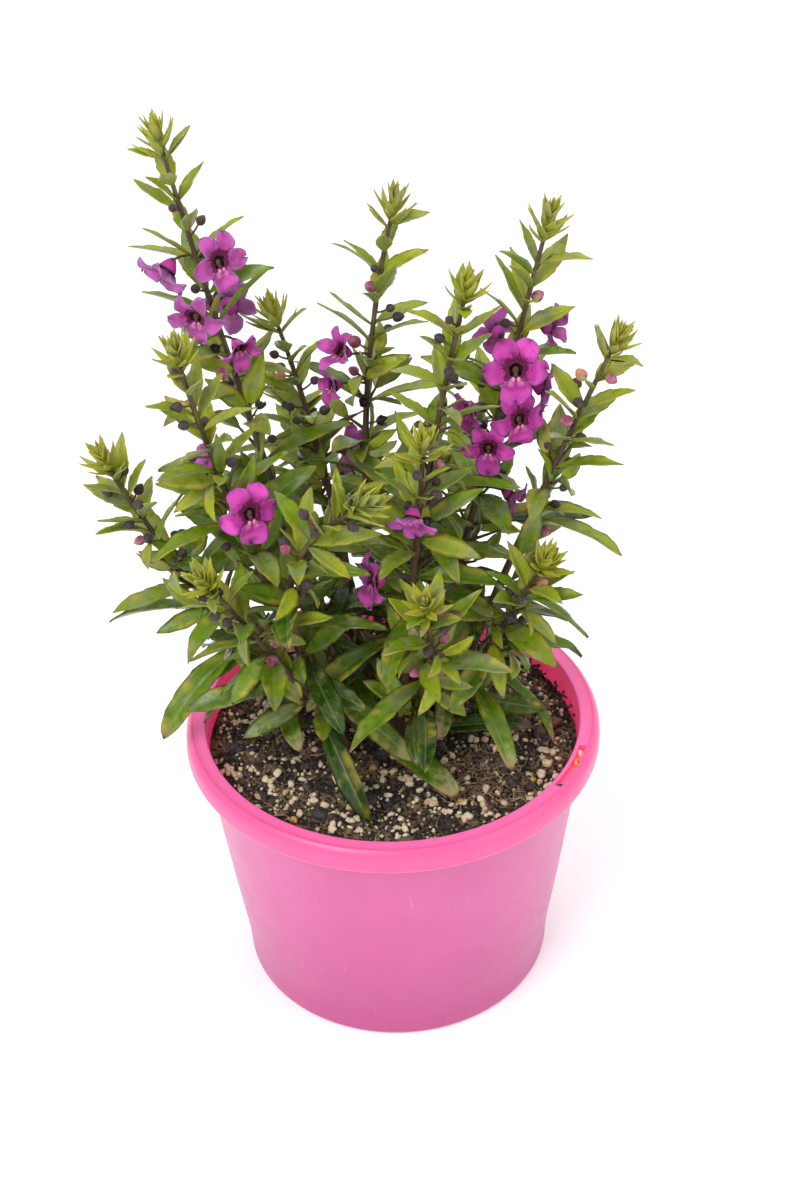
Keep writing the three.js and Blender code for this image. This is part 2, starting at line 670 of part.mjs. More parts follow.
// Round buds on short pedicels beside the upper leaves
function placeBuds(shoot, crowd) {
  const random = randomFrom(BUD.seed + BUD.seedStep * shoot.order);
  const buds = [];
  for (let share = BUD.from; share < BUD.to; share += BUD.step) {
    const chosen = random() < BUD.chance;
    const bearing = 360 * random();
    const length = BUD.pedicel * (1 + BUD.uneven * spread(random));
    if (!chosen) continue;
    const root = shoot.stem.at(share);
    const centre = root.clone()
      .addScaledVector(outward(shoot.stem.along(share), bearing), length)
      .addScaledVector(UP, BUD.rise * length);
    const samples = [{ place: centre, outer: true }];
    if (!crowd.clear("buds", samples)) continue;
    crowd.add(shoot.name, samples, PIECE_CLEAR + BUD.radius);
    buds.push({ root, centre });
  }
  return buds;
}

function budSolid(bud) {
  const along = bud.centre.clone().sub(bud.root).normalize();
  const neck = bud.centre.clone().addScaledVector(along, -BUD.radius);
  const end = bud.centre.clone().addScaledVector(along, BUD.end * BUD.radius);
  const rings = [
    ringRound(neck, along, BUD.neck, BUD.sides),
    ringRound(bud.centre, along, BUD.radius, BUD.sides),
  ];
  return loft(bud.root, rings, end);
}

// How far a tier of a shoot's head is turned, in degrees
function headTurn(tier, order) {
  return HEAD.tierTurn * tier + HEAD.shootTurn * order;
}

// The bracts of the head at a shoot's tip, as blades, by tier
function placeBracts(stem, order) {
  const along = stem.along(1);
  return BRACTS.map((whorl, tier) => {
    const origin = stem.tip.clone().addScaledVector(along, whorl.above + HEAD.step / 2);
    return Array.from({ length: BRACT.sides }, (_, side) => {
      const out = outward(along, (360 * (side + 0.5)) / BRACT.sides + headTurn(tier, order));
      const direction = between(along, out, whorl.pitch);
      const normal = between(along, out, whorl.pitch - 90);
      return new Blade(origin, direction, normal, whorl.length, whorl.halfWidth, whorl.droop);
    });
  });
}

// The head at a shoot's tip: a bud of closed young leaves with four bracts standing out of each tier
function headSolid(shoot) {
  const skin = new Skin();
  const along = shoot.stem.along(1);
  const level = (above) => shoot.stem.tip.clone().addScaledVector(along, above);
  const ring = (above, radius, turned) => (
    skin.loop(ringRound(level(above), along, radius, BRACT.sides, turned))
  );
  let below = ring(-HEAD.neckBelow, HEAD.neck, headTurn(0, shoot.order));
  skin.close([...below].reverse(), level(-HEAD.rootBelow));
  BRACTS.forEach((whorl, tier) => {
    const turned = headTurn(tier, shoot.order);
    const low = ring(whorl.above, whorl.core, turned);
    const high = ring(whorl.above + HEAD.step, whorl.core, turned);
    skin.band(below, low);
    shoot.bracts[tier].forEach((bract, side) => {
      const next = (side + 1) % BRACT.sides;
      const belly = skin.loop(bract.section(BRACT.belly, BRACT.halfThickness));
      skin.band([low[side], low[next], high[next], high[side]], belly);
      skin.close(belly, bract.at(1).middle);
    });
    below = high;
  });
  skin.close(below, level(HEAD.length));
  return skin.solid();
}

function leafSolid(blade) {
  return blade.solid(blade.length >= LARGE_FROM ? LARGE_OUTLINE : SMALL_OUTLINE, LEAF.fold, LEAF.keel);
}

function shootSolid(shoot) {
  return largestBody(Manifold.union([
    shoot.stem.solid(), headSolid(shoot), ...shoot.leaves.map(leafSolid), ...shoot.buds.map(budSolid),
    ...shoot.blooms.map(pedicelSolid),
  ]));
}

// Assembly

const FINISH = {
  pot: new THREE.MeshStandardMaterial({ color: 0xf04f9c, roughness: 0.38, metalness: 0 }),
  soil: new THREE.MeshStandardMaterial({ color: 0x2e2620, roughness: 0.95, metalness: 0 }),
  shoot: new THREE.MeshStandardMaterial({ color: 0x5f8a1e, roughness: 0.5, metalness: 0 }),
  bloom: new THREE.MeshStandardMaterial({ color: 0xb33cb0, roughness: 0.55, metalness: 0 }),
};

function named(name, solid, material) {
  const mesh = new THREE.Mesh(geometryOf(solid), material);
  mesh.name = name;
  return mesh;
}

// The shoots with their stems, heads, blooms, buds and leaves, all kept clear of each other
function growShoots() {
  const crowd = new Crowd();
  const shoots = SHOOTS.map((values, order) => {
    const stem = new Stem(values);
    return { ...values, order, stem, bracts: placeBracts(stem, order) };
  });
  const blooms = BLOOMS.map((bloom, index) => {
    const { stem } = shoots.find((shoot) => shoot.name === bloom.shoot);
    return placeBloom(bloom, index, stem);
  });
  shoots.forEach((shoot) => crowd.add(shoot.name, shoot.stem.samples(), STEM_SAMPLES.reach));
  shoots.forEach((shoot) => {
    crowd.add(shoot.name, shoot.bracts.flat().flatMap((bract) => bract.samples()), LEAF_CLEAR);
  });
  blooms.forEach((bloom) => crowd.add(bloom.name, bloomSamples(bloom), LEAF_CLEAR));
  blooms.forEach((bloom) => crowd.add(bloom.shoot, pedicelSamples(bloom), PIECE_CLEAR + PEDICEL.reach));
  return shoots.map((shoot) => ({
    ...shoot,
    blooms: blooms.filter((bloom) => bloom.shoot === shoot.name),
    buds: placeBuds(shoot, crowd),
    leaves: placeLeaves(shoot, crowd),
  }));
}

const plant = new THREE.Group();
const shoots = growShoots();
plant.add(named("pot", makePot(), FINISH.pot));
plant.add(named("soil", makeSoil(shoots.map((shoot) => shoot.stem)), FINISH.soil));
shoots.forEach((shoot) => {
  plant.add(named(`shoot_${shoot.name}`, shootSolid(shoot), FINISH.shoot));
  shoot.blooms.forEach((bloom) => plant.add(named(bloom.name, bloomSolid(bloom), FINISH.bloom)));
});

export default plant;
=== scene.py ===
"""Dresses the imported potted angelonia: its pot, potting mix, leafy shoots and two-lipped blooms.

Lengths are millimetres in the model's own frame, with +Z up and the photograph's viewer at -Y. A finished
piece is turned to metres. The layout of shoots, leaves, buds and blooms follows the same rule as the solids.
"""

import logging
import math
from collections.abc import Callable, Iterator, Sequence
from dataclasses import dataclass, field
from enum import Enum, IntEnum
from typing import ClassVar

import bmesh
import bpy
import numpy as np
from mathutils import Matrix, Vector, noise


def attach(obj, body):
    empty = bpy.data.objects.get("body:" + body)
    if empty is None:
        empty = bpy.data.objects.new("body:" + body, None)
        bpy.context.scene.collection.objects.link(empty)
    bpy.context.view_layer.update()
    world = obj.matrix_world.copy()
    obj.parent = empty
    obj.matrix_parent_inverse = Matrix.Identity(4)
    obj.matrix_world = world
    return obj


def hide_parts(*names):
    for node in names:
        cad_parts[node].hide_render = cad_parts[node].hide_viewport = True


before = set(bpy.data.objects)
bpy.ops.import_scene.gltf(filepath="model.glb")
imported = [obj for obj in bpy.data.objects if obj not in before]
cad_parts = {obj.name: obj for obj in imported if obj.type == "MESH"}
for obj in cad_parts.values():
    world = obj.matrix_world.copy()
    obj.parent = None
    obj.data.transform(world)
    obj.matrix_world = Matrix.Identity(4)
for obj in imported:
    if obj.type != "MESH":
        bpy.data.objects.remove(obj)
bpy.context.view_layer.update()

LOG = logging.getLogger("angelonia")
BODY = "root"
MM = 0.001
UV_MAP = "UVMap"
TONE = "tone"
FULL_TURN = 2 * math.pi

Vec = np.ndarray
Pair = tuple[float, float]
Triple = tuple[float, float, float]
Colour = Triple
Shape = bmesh.types.BMesh
Material = bpy.types.Material
Socket = bpy.types.NodeSocket
UP = np.array((0.0, 0.0, 1.0))
AWAY = np.array((0.0, 1.0, 0.0))


class Slot(Enum):
    """The record's material slots."""

    POT = "pot_plastic"
    MIX = "potting_mix"
    FOLIAGE = "foliage"
    PETALS = "petals"


# Driving dimensions, as on the solids
POT_HEIGHT = 107.4
RIM_RADIUS = 75.0
RIM_INNER_RADIUS = 67.2
RIM_FOOT = 98.4
FOOT_RADIUS = 57.4
WALL = 1.4
FLOOR = 2.2
WALL_OUTLINE = ((FOOT_RADIUS, 1.4), (57.9, 12.0), (62.0, 41.0), (69.2, RIM_FOOT))
SOIL_TOP = 95.5
SOIL_CLEAR = 0.42
SOIL_EDGE = 2.2
STEM_FOOT_RADIUS = 1.7
STEM_TIP_RADIUS = 0.85
UPRIGHT = 0.45
FOLD = 10.0
# The mix's two crossing waves and its mound: each one's height, then its lengths or its spread
BROAD_LUMPS = (0.55, 5.3, 4.4)
FINE_LUMPS = (0.45, 3.1, 4.7)
MOUND = (2.5, 20)
# Seeds of the random numbers: the first shoot's or flower's, and the step to the next one's
LEAF_SEEDS = (7001, 131)
TIP_LEAF_SEEDS = (8101, 37)
SPRIG_SEEDS = (5003, 71)
BUD_SEEDS = (9001, 57)
SIDE_BUD_SEEDS = (9507, 43)
FOLIAGE_SEEDS = (3331, 97)
FLOWER_SEEDS = (1777, 41)
PERLITE_SEED, BARK_SEED, FIBRE_SEED, PRILL_SEED = 4177, 6113, 2741, 811


# Numbers, directions and random draws


class Draws:
    """Random numbers that are the same each time for the same seed."""

    FACTOR = 1664525
    STEP = 1013904223
    RANGE = 2**32

    def __init__(self, seed: int, step: int = 0, number: int = 0) -> None:
        """Starts the row of numbers at a seed, a step farther on for each number."""
        self.state = seed + step * number

    def share(self) -> float:
        """Returns a number from 0 to 1."""
        self.state = (self.state * self.FACTOR + self.STEP) % self.RANGE
        return self.state / self.RANGE

    def spread(self) -> float:
        """Returns a number from -1 to 1."""
        return 2 * self.share() - 1

    def between(self, low: float, high: float) -> float:
        """Returns a number from low to high."""
        return low + (high - low) * self.share()

    def turn(self) -> Vec:
        """Returns a random rotation as a 3 by 3 matrix."""
        axis = Vector((self.spread(), self.spread(), self.spread() + 0.01)).normalized()
        return np.array(Matrix.Rotation(FULL_TURN * self.share(), 3, axis))


def unit(vector: Vec) -> Vec:
    """Returns the vector, or each row of vectors, at length 1."""
    return vector / np.linalg.norm(vector, axis=-1, keepdims=True)


def between(first: Vec, second: Vec, degrees: float) -> Vec:
    """Returns a direction turned by some degrees from a first direction towards a second."""
    return first * math.cos(math.radians(degrees)) + second * math.sin(math.radians(degrees))


def leaned(along: Vec, out: Vec, degrees: float) -> tuple[Vec, Vec]:
    """Returns a direction leaned by some degrees from along towards out, and the normal on its upper side."""
    return between(along, out, degrees), between(along, out, degrees - 90)


def outward(along: Vec, bearing: float) -> Vec:
    """Returns the direction at a bearing in degrees round a stem direction, square to it."""
    across = unit(np.cross(AWAY, along))
    return between(across, np.cross(along, across), bearing)


def standing(along: Vec) -> Vec:
    """Returns the rows that turn z to a direction."""
    across = outward(along, 0)
    return np.array((across, np.cross(along, across), along))


def stepped(first: float, end: float, step: float) -> Iterator[float]:
    """Gives numbers a step apart.

    Args:
        first: the first one.
        end: what all of them are below.
        step: how far apart they are.

    Returns:
        The numbers, one by one.
    """
    while first < end:
        yield first
        first += step


def smooth(values: Vec, low: float, high: float) -> Vec:
    """Returns a smooth step from 0 at low to 1 at high."""
    share = np.clip((values - low) / (high - low), 0, 1)
    return share * share * (3 - 2 * share)


def inner_radius(z: float) -> float:
    """Returns the radius of the pot's inside at a height up to the rim's foot."""
    radii, heights = zip(*WALL_OUTLINE)
    return float(np.interp(z, heights, radii)) - WALL


def soil_height(x: Vec, y: Vec) -> Vec:
    """Returns the height of the potting mix: low lumps and a slight mound round the crown.

    Args:
        x: places across.
        y: places away from the viewer.

    Returns:
        The heights.
    """
    high, across, away = BROAD_LUMPS
    broad = high * np.sin(x / across + 1) * np.cos(y / away)
    high, across, away = FINE_LUMPS
    fine = high * np.sin(x / across + y / away)
    high, spread = MOUND
    return SOIL_TOP + broad + fine + high * np.exp(-((np.hypot(x, y) / spread) ** 2))


# The layout of the plant


@dataclass(frozen=True)
class ShootPlan:
    """Where a shoot leaves the soil, where it is halfway, its tip, and its lowest leaf pair's bearing."""

    name: str
    foot: Pair
    half: Triple
    tip: Triple
    bearing: float


SHOOTS = tuple(ShootPlan(*row) for row in (
    ("tall_left", (-14, 17), (-43, 23, 208), (-67, 30, 312), 25),
    ("tall_centre", (0, 23), (-7, 33, 192), (4, 44, 280), 70),
    ("tall_right", (12, 17), (33, 20, 194), (53, 24, 283), 10),
    ("front_left", (-17, 2), (-45, -9, 184), (-62, -22, 264), 40),
    ("mid_right", (5, 9), (12, 6, 186), (26, 2, 271), 15),
    ("far_right", (18, 9), (46, 7, 178), (73, 4, 250), 55),
    ("far_left", (-22, 9), (-65, 2, 163), (-90, -4, 216), 35),
    ("back_left", (-8, 19), (-19, 32, 176), (-35, 42, 243), 60),
    ("front_centre", (2, 0), (8, -10, 168), (12, -20, 228), 0),
    ("leaning", (-8, -2), (-33, -22, 172), (-10, -36, 219), 80),
    ("front_low", (5, -9), (12, -28, 148), (12, -46, 186), 45),
    ("left_low", (-15, -7), (-38, -24, 150), (-57, -40, 193), 5),
    ("rear_left", (-9, 29), (-22, 54, 158), (-36, 70, 198), 30),
    ("rear_right", (9, 27), (25, 52, 162), (40, 68, 203), 75),
    ("right_low", (17, 0), (36, -10, 146), (50, -22, 184), 20),
))


@dataclass(frozen=True)
class BloomPlan:
    """A bloom's shoot, the share of its path, bearing, upward lift, pedicel, size and how open it is."""

    shoot: str
    share: float
    bearing: float
    lift: float
    pedicel: float
    size: float
    opened: float


BLOOMS = tuple(BloomPlan(*row) for row in (
    ("tall_left", 0.83, 225, -35, 9, 0.95, 0.55),
    ("tall_left", 0.82, -50, 10, 8, 0.95, 0.85),
    ("tall_left", 0.71, 75, -10, 8, 0.9, 0.75),
    ("tall_left", 0.75, 250, -15, 8, 0.9, 0.7),
    ("tall_left", 0.69, -60, -25, 9, 0.75, 0.45),
    ("tall_right", 0.75, -90, 12, 10, 1.05, 1),
    ("tall_right", 0.65, -65, 5, 9, 0.95, 0.95),
    ("tall_right", 0.8, 25, -15, 8, 0.8, 0.5),
    ("tall_right", 0.69, -5, -10, 9, 0.8, 0.7),
    ("tall_right", 0.76, 115, 0, 8, 0.8, 0.7),
    ("tall_right", 0.59, -100, 0, 9, 0.85, 0.8),
    ("tall_right", 0.65, 215, -10, 9, 0.75, 0.5),
    ("tall_right", 0.48, -30, -20, 9, 0.7, 0.4),
    ("tall_centre", 0.73, 215, 30, 8, 0.85, 0.4),
    ("tall_centre", 0.67, 210, 0, 10, 0.7, 0.5),
    ("back_left", 0.62, 40, -20, 8, 0.85, 0.6),
    ("front_left", 0.65, -60, 10, 10, 1, 0.95),
    ("front_left", 0.69, 110, 0, 7, 0.75, 0.5),
    ("front_centre", 0.85, -105, -40, 8, 0.85, 0.5),
    ("front_centre", 0.55, 200, 5, 10, 0.95, 0.75),
))


@dataclass
class Stem:
    """A shoot's path: a parabola through its foot, its halfway point and its tip."""

    MEASURE_STEPS: ClassVar[int] = 24
    SAMPLE_SPACING: ClassVar[float] = 3
    plan: ShootPlan

    def __post_init__(self) -> None:
        """Works out the path and its length."""
        self.foot = np.array((*self.plan.foot, SOIL_TOP), float)
        self.tip = np.array(self.plan.tip, float)
        self.bend = 2 * np.array(self.plan.half, float) - 0.5 * self.foot - 0.5 * self.tip
        marks = self.at(np.arange(self.MEASURE_STEPS + 1) / self.MEASURE_STEPS)
        self.length = float(np.linalg.norm(np.diff(marks, axis=0), axis=1).sum())

    def at(self, share: float | Vec) -> Vec:
        """Returns the path's point at one share of it, or a row of points at several.

        Args:
            share: the share or shares of the path.

        Returns:
            The point or points.
        """
        share = np.asarray(share, float)[..., None]
        rest = 1 - share
        return self.foot * rest * rest + self.bend * (2 * rest * share) + self.tip * share * share

    def along(self, share: float | Vec) -> Vec:
        """Returns the path's direction at one share or several."""
        share = np.asarray(share, float)[..., None]
        return unit((self.bend - self.foot) * (1 - share) + (self.tip - self.bend) * share)

    def level(self, share: float) -> Vec:
        """Returns the direction that leaves spread round, nearer to the vertical than the stem."""
        return unit(self.along(share) * (1 - UPRIGHT) + UP * UPRIGHT)


@dataclass
class Blade:
    """A leaf, bract or petal, whose middle line is an arc that droops away from its normal."""

    origin: Vec
    direction: Vec
    normal: Vec
    length: float
    half_width: float
    droop: float
    age: float = 0.5

    SAMPLE_SPACING: ClassVar[float] = 3.2
    SAMPLES: ClassVar[tuple[float, ...]] = (-0.9, -0.45, 0, 0.45, 0.9)
    CLEAR_FROM: ClassVar[float] = 0.3  # the share of the length past which it keeps from its own shoot

    def __post_init__(self) -> None:
        """Works out the direction across the blade."""
        self.side = np.cross(self.direction, self.normal)

    def at(self, share: Vec) -> tuple[Vec, Vec]:
        """Returns the middle line's points and the upward directions at shares of the length.

        Args:
            share: shares of the length.

        Returns:
            The points and the upward directions there.
        """
        turn = (math.radians(self.droop) * share)[..., None]
        bow = self.length / math.radians(self.droop)
        ahead = self.direction * (bow * np.sin(turn))
        middle = self.origin + ahead - self.normal * (bow * (1 - np.cos(turn)))
        return middle, self.normal * np.cos(turn) + self.direction * np.sin(turn)

    def samples(self) -> tuple[Vec, Vec]:
        """Returns points spread over the folded blade, and which are far enough out.

        Returns:
            The points, and whether each one has to keep from the blade's own shoot.
        """
        rows = math.ceil(self.length / self.SAMPLE_SPACING)
        share = np.repeat(np.arange(1, rows + 1) / rows, len(self.SAMPLES))
        width = np.minimum(1, 4 * share * (1 - share) + 0.25)
        middle, up = self.at(share)
        reach = (np.tile(self.SAMPLES, rows) * width * self.half_width)[..., None]
        turn = math.radians(FOLD)
        points = middle + self.side * reach * math.cos(turn) + up * np.abs(reach) * math.sin(turn)
        return points, share > self.CLEAR_FROM


@dataclass
class Cluster:
    """One owner's points, which of them stand clear of their own shoot, and how far others keep away."""

    owner: str
    points: Vec
    outer: Vec
    reach: float

    def __post_init__(self) -> None:
        """Keeps the outer points and measures the ball round all of them."""
        self.outer = self.points[self.outer]
        self.centre = self.points.mean(axis=0)
        self.radius = float(np.linalg.norm(self.points - self.centre, axis=1).max())


class Crowd:
    """Keeps what is placed so far and tells whether a new piece is clear of it."""

    OWN_CLEAR = 1.7
    LEAF_CLEAR = 2.7
    PIECE_CLEAR = 1.6
    OVER_SOIL = 2.6
    OVER_RIM = 1.8
    OVER_GROUND = 2
    INSIDE_RIM = 4  # how far inside the rim and
    PAST_RIM = 3  # how far outside it a leaf has to pass over it

    def __init__(self) -> None:
        """Starts empty."""
        self.clusters: list[Cluster] = []
        self.balls: list[tuple[float, ...]] = []

    def add(self, new: Cluster) -> None:
        """Adds a cluster."""
        self.clusters.append(new)
        self.balls.append((*new.centre, new.radius, new.reach))

    def clear(self, new: Cluster) -> bool:
        """Tells whether a cluster is clear of the pot, the soil and all that is placed.

        Args:
            new: the cluster.

        Returns:
            Whether nothing is too near.
        """
        x, y, z = new.points.T
        out = np.hypot(x, y)
        over_pot = soil_height(x, y) + self.OVER_SOIL
        over_pot = np.where(out > RIM_INNER_RADIUS - self.INSIDE_RIM, POT_HEIGHT + self.OVER_RIM, over_pot)
        if (z <= np.where(out > RIM_RADIUS + self.PAST_RIM, self.OVER_GROUND, over_pot)).any():
            return False
        balls = np.array(self.balls)
        own = np.array([placed.owner == new.owner for placed in self.clusters])
        near = np.where(own, self.OWN_CLEAR, balls[:, 4])
        gap = np.linalg.norm(balls[:, :3] - new.centre, axis=1)
        for i in np.flatnonzero(gap <= balls[:, 3] + new.radius + near):
            placed = self.clusters[i]
            mine, others = (new.outer, placed.outer) if own[i] else (new.points, placed.points)
            if not len(mine) or not len(others):
                continue
            apart = mine[:, None, :] - others[None, :, :]
            if np.einsum("ijk,ijk->ij", apart, apart).min() <= near[i] ** 2:
                return False
        return True

    def admit(self, new: Cluster) -> bool:
        """Adds a cluster if it is clear.

        Args:
            new: the cluster.

        Returns:
            Whether it was added.
        """
        fits = self.clear(new)
        if fits:
            self.add(new)
        return fits


@dataclass
class Bud:
    """A round bud at the end of its pedicel, or the open calyx that a fallen flower leaves."""

    root: Vec
    centre: Vec
    radius: float = 2.0
    spent: bool = False


@dataclass
class Flower:
    """A bloom's place: its root on the stem, its back, its mouth and its own directions."""

    TUBE: ClassVar[float] = 6.0
    LOBE_LENGTH: ClassVar[float] = 9.4
    LOBE_HALF_WIDTH: ClassVar[float] = 4.3
    LOBE_DROOP: ClassVar[float] = 22
    # Each lobe's bearing and size: two upper ones, two at the sides and the lower one
    LOBES: ClassVar[tuple[Pair, ...]] = (
        (62, 0.92), (118, 0.92), (-8, 0.95), (188, 0.95), (270, 1.08),
    )
    number: int
    plan: BloomPlan
    stem: Stem

    def __post_init__(self) -> None:
        """Places the bloom on its stem."""
        plan = self.plan
        self.name = f"bloom_{self.number:02d}"
        self.root = self.stem.at(plan.share)
        out = outward(self.stem.level(plan.share), plan.bearing)
        self.face = unit(between(out, UP, plan.lift))
        self.back = self.root + out * plan.pedicel + UP * 0.25 * plan.pedicel
        self.mouth = self.back + self.face * self.TUBE * plan.size
        self.side = unit(np.cross(UP, self.face))
        self.rise = unit(np.cross(self.face, self.side))

    def lobes(self) -> list[Blade]:
        """Returns each lobe as a blade; a less open flower's lobes point forward.

        Returns:
            Two upper lobes, two side lobes and the lower one.
        """
        plan = self.plan
        forward = 78 - 80 * plan.opened
        blades = []
        for bearing, share in self.LOBES:
            out = between(self.side, self.rise, bearing)
            start = self.mouth + out * 2.0 * plan.size - self.face * 1.1 * plan.size
            size = share * plan.size
            half_width = self.LOBE_HALF_WIDTH * size * (0.5 + 0.5 * plan.opened)
            direction, normal = between(out, self.face, forward), between(self.face, out, -forward)
            length = self.LOBE_LENGTH * size
            blades.append(Blade(start, direction, normal, length, half_width, self.LOBE_DROOP))
        return blades


class Shoot:
    """One leafy shoot with its head, buds, leaves, side sprigs and flowers."""

    TRIES = tuple(
        (shorter, raised, aside)
        for shorter in (1, 0.8) for raised in (0, -16, 12) for aside in (0, 15, -15, 30, -30, 45, -45)
    )

    # Each tier of bracts: height over the stem's end, lean, length, half width and droop
    TIERS = ((0.0, 56, 11.0, 1.9, -20), (3.4, 32, 9.5, 2.0, -15))
    TURN = 25  # from one shoot's head to the next one's
    WANDER = 14  # how far a leaf's bearing strays
    PEDICEL = 6.5
    # Leaf pairs: where they begin and end, and how far apart they stand at the foot and less at the tip
    FIRST_PAIR = 11.0
    LAST_PAIR = 0.965
    SPACING = 17.5
    CLOSER = 7.5
    # The small ones below the head: how far under it the first pair is, and the stretch's share
    FIRST_TIP_PAIR = 3.0
    LAST_TIP_PAIR = 0.24
    # Shares of the path where things grow: the first, the end and the step
    BUD_STEPS = (0.5, 0.9, 0.06)
    SIDE_BUD_STEPS = (0.5, 0.98, 0.045)
    SPRIG_STEPS = (0.07, 0.7, 0.062)

    def __init__(self, order: int, plan: ShootPlan, crowd: Crowd) -> None:
        """Places the stem and the head of bracts.

        Args:
            order: its number, from 0.
            plan: its places.
            crowd: what its buds and leaves keep clear of.
        """
        self.order = order
        self.plan = plan
        self.crowd = crowd
        self.name = plan.name
        self.stem = Stem(plan)
        self.bracts = self.place_bracts()
        self.flowers: list[Flower] = []
        self.buds: list[Bud] = []
        self.leaves: list[Blade] = []
        self.sprigs: list[Sprig] = []

    def place_bracts(self) -> list[Blade]:
        """Returns the two tiers of four bracts that stand out of the head.

        Returns:
            The bracts, lower tier first.
        """
        along = self.stem.along(1.0)
        blades = []
        for tier, (above, pitch, length, half_width, droop) in enumerate(self.TIERS):
            origin = self.stem.tip + along * (above + 0.9)
            for side in range(4):
                out = outward(along, 90 * (side + 0.5) + 45 * tier + self.TURN * self.order)
                blades.append(Blade(origin, *leaned(along, out, pitch), length, half_width, droop, 1.0))
        return blades

    def place_buds(self) -> None:
        """Hangs round buds on short pedicels beside the upper leaves."""
        draws = Draws(*BUD_SEEDS, self.order)
        for share in stepped(*self.BUD_STEPS):
            chosen = draws.share() < 0.5
            bearing = 360 * draws.share()
            length = self.PEDICEL * (1 + 0.25 * draws.spread())
            root = self.stem.at(share)
            centre = root + outward(self.stem.along(share), bearing) * length + UP * 0.3 * length
            place = (centre[None], np.array((True,)), self.crowd.PIECE_CLEAR + 2)
            if chosen and self.crowd.clear(Cluster("buds", *place)):
                self.crowd.add(Cluster(self.name, *place))
                self.buds.append(Bud(root, centre))

    def place_side_buds(self) -> None:
        """Hangs more buds and spent calyces in the upper axils, the smallest nearest to the head."""
        draws = Draws(*SIDE_BUD_SEEDS, self.order)
        for share in stepped(*self.SIDE_BUD_STEPS):
            bearing = 360 * draws.share()
            length = draws.between(4, 7.5) * (1.3 - 0.5 * share)
            along = self.stem.along(share)
            radius = 1.75 + 0.25 * draws.spread()
            spent = draws.share() > share + 0.15
            root = self.stem.at(share)
            centre = root + outward(along, bearing) * length + along * draws.between(0.1, 0.7) * length
            if self.crowd.admit(Cluster(self.name, centre[None], np.array((True,)), radius + 0.4)):
                self.buds.append(Bud(root, centre, radius, spent))

    def place_tip_leaves(self) -> None:
        """Sets pairs of small narrow leaves on the stretch below the head."""
        draws = Draws(*TIP_LEAF_SEEDS, self.order)
        below = self.FIRST_TIP_PAIR
        pair = 0
        while below < self.LAST_TIP_PAIR * self.stem.length:
            share = 1 - below / self.stem.length
            for half in (0, 180):
                along = self.stem.along(share)
                bearing = self.TURN * self.order + 90 * pair + half + self.WANDER * draws.spread()
                out = outward(along, bearing)
                lean = leaned(along, out, draws.between(44, 62))
                length = min(12 + 0.5 * below, 21) * draws.between(0.85, 1.15)
                droop = draws.between(-20, 34)
                blade = Blade(self.stem.at(share), *lean, length, 0.11 * length + 0.7, droop, 0.9)
                if self.crowd.admit(Cluster(self.name, *blade.samples(), self.crowd.PIECE_CLEAR)):
                    self.leaves.append(blade)
            below += draws.between(8, 10.5)
            pair += 1

    def place_leaves(self) -> None:
        """Sets leaf pairs up the shoot, each at right angles to the last.

        A leaf that is not clear is turned aside or shortened, or left out where nothing fits.
        """
        draws = Draws(*LEAF_SEEDS, self.order)
        stem = self.stem
        reach = self.FIRST_PAIR
        pair = 0
        while reach < stem.length * self.LAST_PAIR:
            spacing = self.SPACING - self.CLOSER * (reach / stem.length)
            for half in (0, 180):
                share = (reach + 0.16 * draws.spread() * spacing) / stem.length
                bearing = self.plan.bearing + 90 * pair + half + self.WANDER * draws.spread()
                length = (50 - 20 * share - 20 * share * share) * (1 + 0.14 * draws.spread())
                pitch = 98 - 62 * share + 9 * draws.spread()
                droop = max(56 - 48 * share + 12 * draws.spread(), 4)
                roll = 24 * draws.spread()
                level = stem.level(share)
                for shorter, raised, aside in self.TRIES:
                    out = outward(level, bearing + aside)
                    direction, flat = leaned(level, out, pitch + raised)
                    normal = between(flat, np.cross(direction, flat), roll)
                    size = length * shorter
                    blade = Blade(stem.at(share), direction, normal, size, 0.08 * size + 1.3, droop, share)
                    if self.crowd.admit(Cluster(self.name, *blade.samples(), self.crowd.LEAF_CLEAR)):
                        self.leaves.append(blade)
                        break
            reach += spacing
            pair += 1

    def place_sprigs(self) -> None:
        """Grows small side sprigs from the axils of the lower and middle leaves."""
        draws = Draws(*SPRIG_SEEDS, self.order)
        for share in stepped(*self.SPRIG_STEPS):
            for half in (0, 180):
                bearing = self.plan.bearing + 360 * draws.share() + half
                self.sprigs.append(Sprig(self, share + 0.02 * draws.spread(), bearing, draws))


class Sprig:
    """A short side sprig in a leaf's axil: a thin stalk with pairs of small leaves."""

    PAIRS = 2
    CLEAR = 1.8

    def __init__(self, shoot: Shoot, share: float, bearing: float, draws: Draws) -> None:
        """Grows the sprig's leaves where they are clear.

        Args:
            shoot: the shoot that it grows from.
            share: where on the shoot's path.
            bearing: the bearing that it leans to, in degrees.
            draws: its random numbers.
        """
        level = shoot.stem.level(share)
        self.root = shoot.stem.at(share)
        self.direction = between(level, outward(level, bearing), draws.between(30, 58))
        self.length = draws.between(7, 15) * (1.15 - 0.6 * share)
        self.leaves: list[Blade] = []
        for pair in range(self.PAIRS):
            height = self.length * (pair + 0.6) / self.PAIRS
            for half in (0, 180):
                out = outward(self.direction, 90 * pair + half + 20 * draws.spread())
                lean = leaned(self.direction, out, draws.between(38, 66) - 14 * pair)
                length = draws.between(17, 31) * (1.1 - 0.5 * share) * (1 - 0.16 * pair)
                origin, droop = self.root + self.direction * height, draws.between(8, 44)
                blade = Blade(origin, *lean, length, 0.11 * length + 0.8, droop, min(share + 0.2, 0.95))
                if shoot.crowd.admit(Cluster(shoot.name, *blade.samples(), self.CLEAR)):
                    self.leaves.append(blade)


